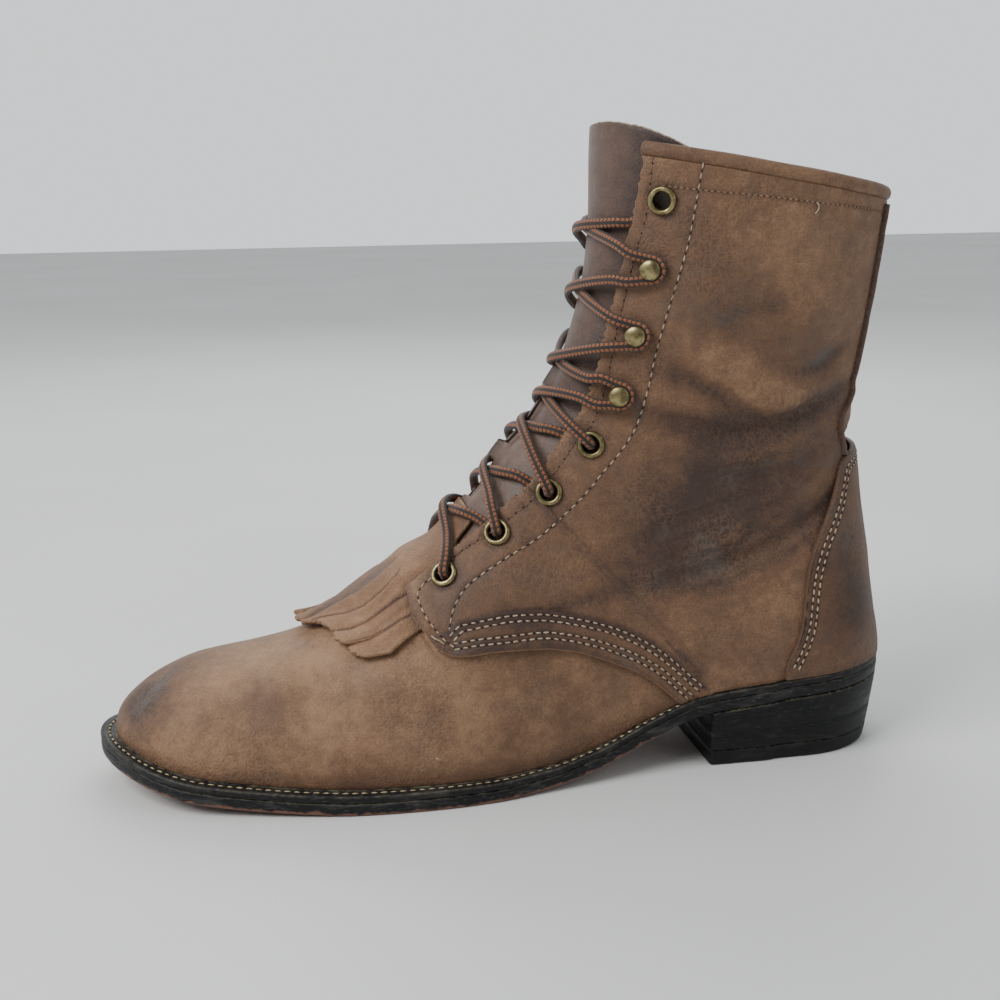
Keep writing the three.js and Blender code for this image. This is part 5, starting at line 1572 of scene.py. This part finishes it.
def fitting_tree():
    """One turned fitting on every point, facing outward, with a fixed random turn about its axis."""
    tree = new_tree("fittings_on_points", [
        ("Fitting", "NodeSocketObject"), ("Size", "NodeSocketFloat"), ("Turn", "NodeSocketFloat"),
        ("Seed", "NodeSocketInt"), ("Finish", "NodeSocketMaterial")])
    make = node_maker(tree)
    given = make("NodeGroupInput").outputs
    outward_name = make("GeometryNodeInputNamedAttribute", {"Name": "outward"}, data_type="FLOAT_VECTOR")
    ahead_name = make("GeometryNodeInputNamedAttribute", {"Name": "ahead"}, data_type="FLOAT_VECTOR")
    facing = make("FunctionNodeAxesToRotation", {"Primary Axis": outward_name.outputs[0],
                                                 "Secondary Axis": ahead_name.outputs[0]},
                  primary_axis="Z", secondary_axis="X").outputs[0]
    chance = make("FunctionNodeRandomValue", {"Seed": given["Seed"]}, data_type="FLOAT")
    chance.inputs[2].default_value = 0.0
    tree.links.new(given["Turn"], chance.inputs[3])
    angles = make("ShaderNodeCombineXYZ", {2: chance.outputs[1]}).outputs[0]
    turned = make("FunctionNodeEulerToRotation", {0: angles})
    rotation = make("FunctionNodeRotateRotation", {"Rotation": facing, "Rotate By": turned.outputs[0]},
                    rotation_space="LOCAL").outputs[0]
    fitting = make("GeometryNodeObjectInfo", {"Object": given["Fitting"]}).outputs["Geometry"]
    size = make("ShaderNodeCombineXYZ", {0: given["Size"], 1: given["Size"], 2: given["Size"]}).outputs[0]
    placed = make("GeometryNodeInstanceOnPoints", {"Points": given["Geometry"], "Instance": fitting,
                                                   "Rotation": rotation, "Scale": size}).outputs[0]
    return finished_tree(tree, make, placed, given["Finish"])


def grown(name, points, edges, vectors, tree, values):
    """Runs a tree on points or seam lines and keeps the result as a plain mesh."""
    mesh = bpy.data.meshes.new(name + "_lines")
    mesh.from_pydata(((np.asarray(points) + source_origin) * MM).tolist(),
                     [tuple(map(int, e)) for e in edges], [])
    for key, rows in vectors.items():
        layer = mesh.attributes.new(key, "FLOAT_VECTOR", "POINT")
        layer.data.foreach_set("vector", np.asarray(rows, np.float32).ravel())
    guide = add_object(name + "_lines", mesh)
    modifier = guide.modifiers.new("rows", "NODES")
    modifier.node_group = tree
    for item in tree.interface.items_tree:
        if item.in_out == "INPUT" and item.name in values:
            modifier[item.identifier] = values[item.name]
    evaluated = guide.evaluated_get(bpy.context.evaluated_depsgraph_get())
    result = bpy.data.meshes.new_from_object(evaluated)
    result.name = name
    bpy.data.objects.remove(guide)
    return add_object(name, result)


def seam_lines(rows):
    points, outs, edges = [], [], []
    start = 0
    for at, out in rows:
        points.append(at)
        outs.append(out)
        edges.extend((start + i, start + i + 1) for i in range(len(at) - 1))
        start += len(at)
    return np.concatenate(points), edges, {"outward": np.concatenate(outs)}


stitches = stitch_tree()


def sew(name, slot, rows, thread, pitch, length, width, height, hole, seed):
    points, edges, vectors = seam_lines(rows)
    piece = grown(name, points, edges, vectors, stitches, {
        "Pitch": pitch * MM, "Stitch length": length, "Thread width": width, "Thread height": height,
        "Hole length": hole, "Uneven": 0.12, "Seed": seed, "Thread": thread, "Hole": needle_hole_shade})
    return ride(piece, slot)


def quarter_seams(names):
    rows = []
    for side in (1, -1):
        for name in names:
            route = routes[name]
            station, swing = route[:, 0], route[:, 1] * side
            keep = np.abs(swing) < edge_of(station, side) - 1.0
            station, swing = station[keep], swing[keep]
            at, out = on_last(station, swing)
            relief, _ = quarter_relief(at[:, None], station[:, None], swing[:, None], side)
            rows.append((at + out * (relief + 0.16), out))
    return rows


sew("stitches_eyestay", "trim_leather", quarter_seams(["tab", "eyestay"]), cream_thread,
    3.5, 2.1, 0.58, 0.5, 1.15, 11)
sew("stitches_throat", "trim_leather", quarter_seams(["throat"]), brown_thread, 3.4, 2.0, 0.55, 0.45, 1.0, 15)
sew("stitches_band", "trim_leather", quarter_seams(["band_top", "band_top_2", "band_low", "band_low_2"]),
    cream_thread, 3.0, 2.1, 0.68, 0.55, 0.9, 12)
sew("stitches_collar", "trim_leather", quarter_seams(["collar"]), tan_thread, 2.1, 1.35, 0.5, 0.4, 0.5, 13)
counter_seams = []
for line, normals in counter_rows.values():
    edge_gap = np.full(len(line), 3.0)
    raised = counter_relief(line[:, None], edge_gap[:, None])[:, 0] + 0.16
    counter_seams.append((line + normals * raised[:, None], normals))
sew("stitches_counter", "trim_leather", counter_seams, cream_thread, 3.0, 2.1, 0.68, 0.55, 0.9, 14)
seam_at, seam_out, seam_dents = seam_places(seam_foot + 3.0, 204.0, [-3.4], 220)
sew("stitches_back", "trim_leather",
    [(seam_at[:, 0] + seam_out[:, 0] * (quarter_step + seam_dents + 0.25), seam_out[:, 0])], tan_thread,
    2.8, 1.8, 0.55, 0.45, 0.6, 16)

for lace_name, lace_side in (("lace_lateral", 1), ("lace_medial", -1)):
    ride(build_lace(lace_name, lace_side), "lace_cord", "lace_cross_1", "lace_cross_2", "lace_cross_3",
         "lace_upper")


# Eyelets and hooks, turned once and set on the quarters
def turned(name, profile):
    """A profile of (radius, height) turned about its axis."""
    pile = Pile()
    segments = 40
    turn = np.linspace(0, 2 * np.pi, segments, endpoint=False)
    rings = np.array([[(r * math.cos(a), r * math.sin(a), z) for a in turn] for r, z in profile])
    pile.add(rings - source_origin, ring_quads(len(profile), segments))
    return pile.piece(name, [antique_brass], 0.001, solid=True)


eyelet_profile = [
    (3.02, -2.75), (2.98, -1.5), (2.98, 0.9), (3.05, 1.5), (3.30, 1.95), (3.75, 2.22), (4.25, 2.2),
    (4.70, 1.95), (4.98, 1.5), (5.02, 1.15), (4.85, 0.85), (4.2, 0.75), (3.55, 0.7), (3.5, -2.2),
    (4.5, -2.3), (4.75, -2.5), (4.5, -2.8), (3.5, -2.95), (3.02, -2.75)]
hook_profile = [
    (0.0, 0.7), (3.7, 0.75), (3.95, 0.95), (3.95, 1.35), (3.6, 1.65), (2.4, 1.85), (1.6, 2.0), (1.45, 2.5),
    (1.45, 5.0), (1.7, 5.25), (3.1, 5.3), (3.5, 5.45), (3.66, 5.8), (3.6, 6.15), (3.25, 6.5), (2.5, 6.85),
    (1.4, 7.08), (0.0, 7.15)]
fittings = fitting_tree()


def set_fittings(name, spots, profile, seed, nodes):
    pattern = turned(name + "_pattern", profile)
    points, outs, aheads = [], [], []
    for side in (1, -1):
        for station, swing in spots:
            at, out = on_last(station, swing * side)
            points.append(at)
            outs.append(out)
            aheads.append(unit(spot(station + 0.02, swing * side) - at))
    piece = grown(name, points, [], {"outward": outs, "ahead": aheads}, fittings, {
        "Fitting": pattern, "Size": 1.0, "Turn": 6.28, "Seed": seed, "Finish": antique_brass})
    bpy.data.objects.remove(pattern)
    return ride(piece, "antique_brass", *nodes)


set_fittings("eyelets", eyelet_spots, eyelet_profile, 21,
             [f"eyelet_{side}_{k}" for side in ("lateral", "medial") for k in range(1, 6)])
set_fittings("lace_hooks", hook_spots, hook_profile, 22,
             [f"hook_{side}_{k}" for side in ("lateral", "medial") for k in range(1, 4)])

# Sole
rung_count = 170
feather_x = lerp(toe_point, heel_point, (1 - np.cos(np.pi * np.linspace(0, 1, rung_count + 1))) / 2)
feather_middle = middle_of(feather_x) * np.clip(1.4 * (1 - along_of(feather_x)), 0, 1)


def feather_side(side):
    origin = np.stack([feather_x, feather_middle, feather_height(feather_x) - 0.01], -1)
    edge = shoot(origin, np.broadcast_to(np.array([0.0, -side, 0.0]), origin.shape), 34)
    y = edge[:, 1].copy()
    y[0], y[-1] = feather_middle[0], feather_middle[-1]
    return np.stack([feather_x, y], -1)


feather = np.concatenate([feather_side(1), feather_side(-1)[::-1][1:-1]])
feather_run = unit(np.roll(feather, -1, 0) - np.roll(feather, 1, 0))
feather_out = np.stack([feather_run[:, 1], -feather_run[:, 0]], -1)
feather_margin = sole_margin(along_of(feather[:, 0]))


def sweep(pile, profile, closed=True):
    """Carries a profile round the feather line: (share of margin, mm beyond it, rise, raw)."""
    rings, tones, raws = [], [], []
    for share, beyond, rise, raw in profile:
        flat = feather + feather_out * (share * feather_margin + beyond)[:, None]
        rings.append(np.concatenate([flat, (underside(flat[:, 0]) + rise)[:, None]], 1))
        tones.append(rise + 7 * smooth(breast - 26, breast - 4, flat[:, 0]))
        raws.append(np.full(len(flat), raw))
    if closed:
        rings.append(rings[0])
        tones.append(tones[0])
        raws.append(raws[0])
    rings = np.stack(rings)
    pile.add(rings, ring_quads(len(rings), len(feather)), 0, np.stack(tones), np.stack(raws))
    return rings


def lid(pile, ring, tone, upward=False, crown=0.0):
    """Closes a ring across, rung by rung from toe to heel."""
    count = len(ring)
    left = ring[:rung_count + 1]
    right = ring[(count - np.arange(rung_count + 1)) % count]
    share = np.linspace(0, 1, 15)[None, :, None]
    grid = lerp(left[:, None], right[:, None], share)
    grid[..., 2] += crown * (1 - (2 * share[..., 0] - 1) ** 2)
    faces = grid_quads(*grid.shape[:2]).reshape(-1, 4)
    pile.add(grid, faces if upward else faces[:, ::-1], 0, tone)


breast = toe_tip + 0.742 * boot_length  # the heel's front face, x
welt_low = outsole_thickness + clearance
welt_top = welt_low + welt_thickness


def build_welt():
    pile = Pile()
    sweep(pile, [
        (0, -3.0, welt_low, 0), (0, -3.0, welt_top, 0), (0, -0.6, plates, 0), (0, 0.15, welt_top - 0.25, 0.5),
        (0.20, 0.1, welt_top + 0.02, 0.15), (0.34, 0.1, welt_top, 0.0), (0.44, 0.1, welt_top - 0.45, 0.2),
        (0.54, 0.1, welt_top - 0.02, 0.0), (0.84, 0, welt_top - 0.12, 0.05), (0.95, 0, welt_top - 0.4, 0.25),
        (1.0, 0, welt_top - 0.9, 0.05), (1.0, 0.06, welt_top - 1.5, 0), (1.0, 0, welt_low + 0.5, 0),
        (1.0, -0.15, welt_low + 0.15, 0.2), (1.0, -0.5, welt_low, 0.5)])
    return pile.piece("welt_strip", [welt_leather], 0.01, solid=True)


def build_outsole():
    pile = Pile()
    top = outsole_thickness
    rings = sweep(pile, [
        (1.0, -0.5, top + 0.1, 0.6), (1.0, -0.15, top - 0.1, 0.15), (1.0, 0, top - 0.5, 0),
        (1.0, 0.08, top - 1.6, 0), (1.0, 0.05, 2.0, 0), (1.0, -0.05, 1.1, 0), (1.0, -0.3, 0.5, 0),
        (1.0, -0.8, 0.12, 0), (1.0, -1.6, 0, 0), (1.0, -4.6, 0, 0), (1.0, -5.0, 0.15, 0),
        (1.0, -5.3, 0.8, 0)], closed=False)
    lid(pile, rings[0], 3.0, upward=True)
    lid(pile, rings[-1], -0.5)
    return pile.piece("outsole_layer", [sole_rubber], 0.01, solid=True)


def build_insole():
    pile = Pile()
    inset = -3.8
    rings = sweep(pile, [
        (0, inset, welt_low, 0), (0, inset, plates + 0.7, 0), (0, inset - 0.5, plates + 1.0, 0),
        (0, inset - 3.5, plates + 0.75, 0)], closed=False)
    lid(pile, rings[0], 0.0)
    lid(pile, rings[-1], 0.0, upward=True, crown=-0.35)
    return pile.piece("insole_board", [insole_leather], 0.01, solid=True)


heel_lean = {"back": 4.0, "side": 2.5}  # how far the faces lean in toward the floor, mm
heel_half_width = 33.0
heel_seat = float(underside(breast))


def heel_outline():
    """The heel's plan at the top, a closed loop with eased corners at the breast."""
    outline = feather + feather_out * feather_margin[:, None]
    left = outline[:rung_count + 1]
    right = outline[(len(outline) - np.arange(rung_count + 1)) % len(outline)]
    loop = []
    for line in (left, right):
        cut_y = np.interp(breast, line[:, 0], line[:, 1])
        kept = line[line[:, 0] > breast]
        loop.append(np.concatenate([[[breast, cut_y]], kept]))
    around = np.concatenate([loop[0], loop[1][::-1][1:]])
    closed = np.concatenate([around, around[:1]])
    run = run_along(closed)
    even = np.linspace(0, run[-1], 261)[:-1]
    loop = np.stack([np.interp(even, run, closed[:, k]) for k in (0, 1)], -1)
    for _ in range(3):
        loop = (np.roll(loop, 1, 0) + 2 * loop + np.roll(loop, -1, 0)) / 4
    return loop


heel_plan = heel_outline()
heel_run = unit(np.roll(heel_plan, -1, 0) - np.roll(heel_plan, 1, 0))
heel_out = np.stack([heel_run[:, 1], -heel_run[:, 0]], -1)
heel_out *= np.sign(((heel_plan - heel_plan.mean(0)) * heel_out).sum(-1).mean())
heel_reach = heel_plan[:, 0].max() - breast


def heel_ring(share_up, height, inset):
    lean = 1 - share_up
    flat = heel_plan - heel_out * inset
    x = flat[:, 0] - heel_lean["back"] * lean * (flat[:, 0] - breast) / heel_reach
    y = flat[:, 1] * (1 - heel_lean["side"] * lean / heel_half_width)
    return np.stack([x, y, height(x) if callable(height) else np.full(len(x), float(height))], -1)


def build_heel_layer(name, levels):
    """Levels as (share up the whole heel, height or its function, inset, raw)."""
    pile = Pile()
    rings = np.stack([heel_ring(share, height, inset) for share, height, inset, _ in levels])
    raws = np.stack([np.full(len(heel_plan), raw) for *_, raw in levels])
    size = len(heel_plan)
    pile.add(rings, ring_quads(len(rings), size), 0, 3.0, raws)
    for ring in (rings[0], rings[-1]):
        middle = np.array([[ring[:, 0].mean(), 0.0, ring[:, 2].mean()]])
        start = pile.add(np.concatenate([ring, middle]), np.zeros((0, 4), int), 0, 3.0)
        line = np.arange(start, start + size)
        pile.faces.append(np.stack([line, np.roll(line, -1), np.full(size, start + size)], -1))
        pile.slots.append(np.zeros(size, int))
    return pile.piece(name, [heel_rubber], 0.01, solid=True)


def block_height(share):
    low = top_lift_thickness + clearance
    return lambda x: lerp(low, underside(x) - 0.05, share)


lift_share = top_lift_thickness / heel_seat
block_levels = []
for share, inset, raw in ((0.0, 0.45, 0.35), (0.015, 0.15, 0.1), (0.05, 0.0, 0), (0.3, -0.05, 0),
                          (0.42, -0.02, 0), (0.425, 0.1, 0), (0.43, -0.02, 0), (0.7, -0.06, 0),
                          (0.95, 0.0, 0), (0.985, 0.15, 0.2), (1.0, 0.4, 0.45)):
    block_levels.append((lerp(lift_share, 1.0, share), block_height(share), inset, raw))
lift_levels = []
for height, inset, raw in ((0.9, 4.6, 0), (0.1, 4.2, 0), (0.0, 3.8, 0), (0.0, 1.3, 0.1), (0.15, 0.7, 0.2),
                           (0.6, 0.2, 0), (1.4, 0.0, 0), (3.5, -0.05, 0), (5.4, 0.0, 0), (5.8, 0.15, 0),
                           (6.1, 0.5, 0.3)):
    lift_levels.append((height / heel_seat, height, inset, raw))


def tread_tree():
    """Small bevelled pads on points, turned alternately one way and the other."""
    tree = new_tree("tread_pads", [("Length", "NodeSocketFloat"), ("Width", "NodeSocketFloat"),
                                   ("Depth", "NodeSocketFloat"), ("Angle", "NodeSocketFloat"),
                                   ("Finish", "NodeSocketMaterial")])
    make = node_maker(tree)
    given = make("NodeGroupInput").outputs
    ring = make("GeometryNodeCurvePrimitiveCircle", {"Resolution": 8, "Radius": 0.5}).outputs[0]
    plate = make("GeometryNodeFillCurve", {0: ring}, mode="NGONS").outputs[0]
    wall_faces = make("GeometryNodeExtrudeMesh", {"Mesh": plate, "Offset Scale": 1.0})
    shape = make("GeometryNodeScaleElements", {"Geometry": wall_faces.outputs[0],
                                               "Selection": wall_faces.outputs[1], "Scale": 0.72}).outputs[0]
    pad = make("GeometryNodeJoinGeometry")
    tree.links.new(shape, pad.inputs[0])
    tree.links.new(make("GeometryNodeFlipFaces", {"Mesh": plate}).outputs[0], pad.inputs[0])
    shape = make("GeometryNodeMergeByDistance", {"Geometry": pad.outputs[0], "Distance": 0.001}).outputs[0]
    index = make("GeometryNodeInputIndex").outputs[0]
    odd = make("ShaderNodeMath", {0: index, 1: 2.0}, operation="MODULO").outputs[0]
    way = make("ShaderNodeMath", {0: odd, 1: 2.0, 2: -1.0}, operation="MULTIPLY_ADD").outputs[0]
    angle = make("ShaderNodeMath", {0: way, 1: given["Angle"]}, operation="MULTIPLY").outputs[0]
    turn = make("ShaderNodeCombineXYZ", {0: math.pi, 2: angle}).outputs[0]
    size = make("ShaderNodeCombineXYZ", {0: given["Length"], 1: given["Width"], 2: given["Depth"]}).outputs[0]
    placed = make("GeometryNodeInstanceOnPoints", {"Points": given["Geometry"], "Instance": shape,
                                                   "Rotation": turn, "Scale": size}).outputs[0]
    return finished_tree(tree, make, placed, given["Finish"])


def inside_loop(points, loop):
    inside = np.zeros(len(points), bool)
    for a, b in zip(loop, np.roll(loop, -1, 0)):
        crosses = (a[1] > points[:, 1]) != (b[1] > points[:, 1])
        rise = np.where(abs(b[1] - a[1]) < 1e-9, 1e-9, b[1] - a[1])
        inside ^= crosses & (points[:, 0] < (b[0] - a[0]) * (points[:, 1] - a[1]) / rise + a[0])
    return inside


def tread_points(loop, low, high, pitch):
    rows = []
    for k, x in enumerate(np.arange(low, high, pitch)):
        y = np.arange(-60, 60, pitch) + (pitch / 2 if k % 2 else 0)
        rows.append(np.stack([np.full(len(y), x), y], -1))
    spots_2d = np.concatenate(rows)
    return spots_2d[inside_loop(spots_2d, loop)]


ride(build_welt(), "welt_leather", "welt")
ride(build_outsole(), "sole_rubber", "outsole")
ride(build_insole(), "insole_leather", "insole")
ride(build_heel_layer("heel_stack", block_levels), "heel_rubber", "heel_block")
ride(build_heel_layer("heel_top_lift", lift_levels), "heel_rubber", "top_lift")

tread = tread_tree()
pad_pitch = 6.4
sole_loop = feather + feather_out * (feather_margin - 8.0)[:, None]
sole_pads = tread_points(sole_loop, toe_tip + 8, -12, pad_pitch)
heel_loop = heel_plan - heel_out * 7.0
heel_pads = tread_points(heel_loop, breast, 160, pad_pitch)
heel_pads = heel_pads * np.array([0.97, 0.95]) + np.array([breast * 0.03 - 1, 0])
pad_rows = np.concatenate([
    np.concatenate([sole_pads, (underside(sole_pads[:, 0]) + 0.85)[:, None]], 1),
    np.concatenate([heel_pads, np.full((len(heel_pads), 1), 0.95)], 1)])
pads = grown("tread_pads", pad_rows, [], {}, tread, {
    "Length": 5.2 * MM, "Width": 2.6 * MM, "Depth": 0.8 * MM, "Angle": 0.7, "Finish": heel_rubber})
ride(pads, "sole_rubber")

# The stitched welt: a row in the groove, out of sight round the heel
welt_seam = feather + feather_out * (0.44 * feather_margin + 0.1)[:, None]
row_start = int(np.searchsorted(-feather[rung_count:, 0], -(breast - 6))) + rung_count
order = np.roll(np.arange(len(feather)), -row_start)
order = order[feather[order, 0] < breast - 6]
welt_line = welt_seam[order]
welt_rows = [(np.concatenate([welt_line, (underside(welt_line[:, 0]) + welt_top - 0.3)[:, None]], 1),
              np.broadcast_to(np.array([0.0, 0.0, 1.0]), (len(welt_line), 3)))]
sew("stitches_welt", "welt_leather", welt_rows, welt_thread, 3.4, 2.5, 0.95, 0.8, 0.8, 15)


# Floor and light
def add_floor():
    mesh = bpy.data.meshes.new("floor")
    reach = 4.0
    mesh.from_pydata([(-reach, -reach, 0), (reach, -reach, 0), (reach, reach, 0), (-reach, reach, 0)], [],
                     [(0, 1, 2, 3)])
    f = Finish("pale_floor", Roughness=0.7)
    f.set("Base Color",
          f.colour(f.span(f.noise(300, 3), 0.3, 0.7), shade(214, 214, 212), shade(222, 222, 221)))
    mesh.materials.append(f.material)
    add_object("floor", mesh)


def add_light(name, place, aim, size, power):
    data = bpy.data.lights.new(name, "AREA")
    data.shape = "RECTANGLE"
    data.size, data.size_y = size
    data.energy = power
    lamp = add_object(name, data)
    lamp.location = place
    lamp.rotation_euler = (Vector(aim) - Vector(place)).to_track_quat("-Z", "Y").to_euler()


def add_studio():
    world = bpy.data.worlds.new("studio")
    bpy.context.scene.world = world
    world.use_nodes = True
    nodes, links = world.node_tree.nodes, world.node_tree.links
    background = nodes["Background"]
    background.inputs["Color"].default_value = (0.84, 0.88, 0.90, 1)
    around = nodes.new("ShaderNodeTexCoord")
    split = nodes.new("ShaderNodeSeparateXYZ")
    paler_behind = nodes.new("ShaderNodeMapRange")
    for name, value in (("From Min", -0.7), ("From Max", 0.8), ("To Min", 0.26), ("To Max", 1.25)):
        paler_behind.inputs[name].default_value = value
    links.new(around.outputs["Generated"], split.inputs[0])
    links.new(split.outputs["Y"], paler_behind.inputs["Value"])
    links.new(paler_behind.outputs[0], background.inputs["Strength"])
    middle = (0, 0, 0.09)
    add_light("window", (-0.95, -0.50, 1.10), middle, (0.8, 0.8), 19)
    add_light("fill", (0.9, -0.7, 0.7), middle, (1.0, 0.8), 2.5)
    add_light("rear", (0.2, 1.0, 0.9), middle, (1.0, 0.6), 7)


add_floor()
add_studio()
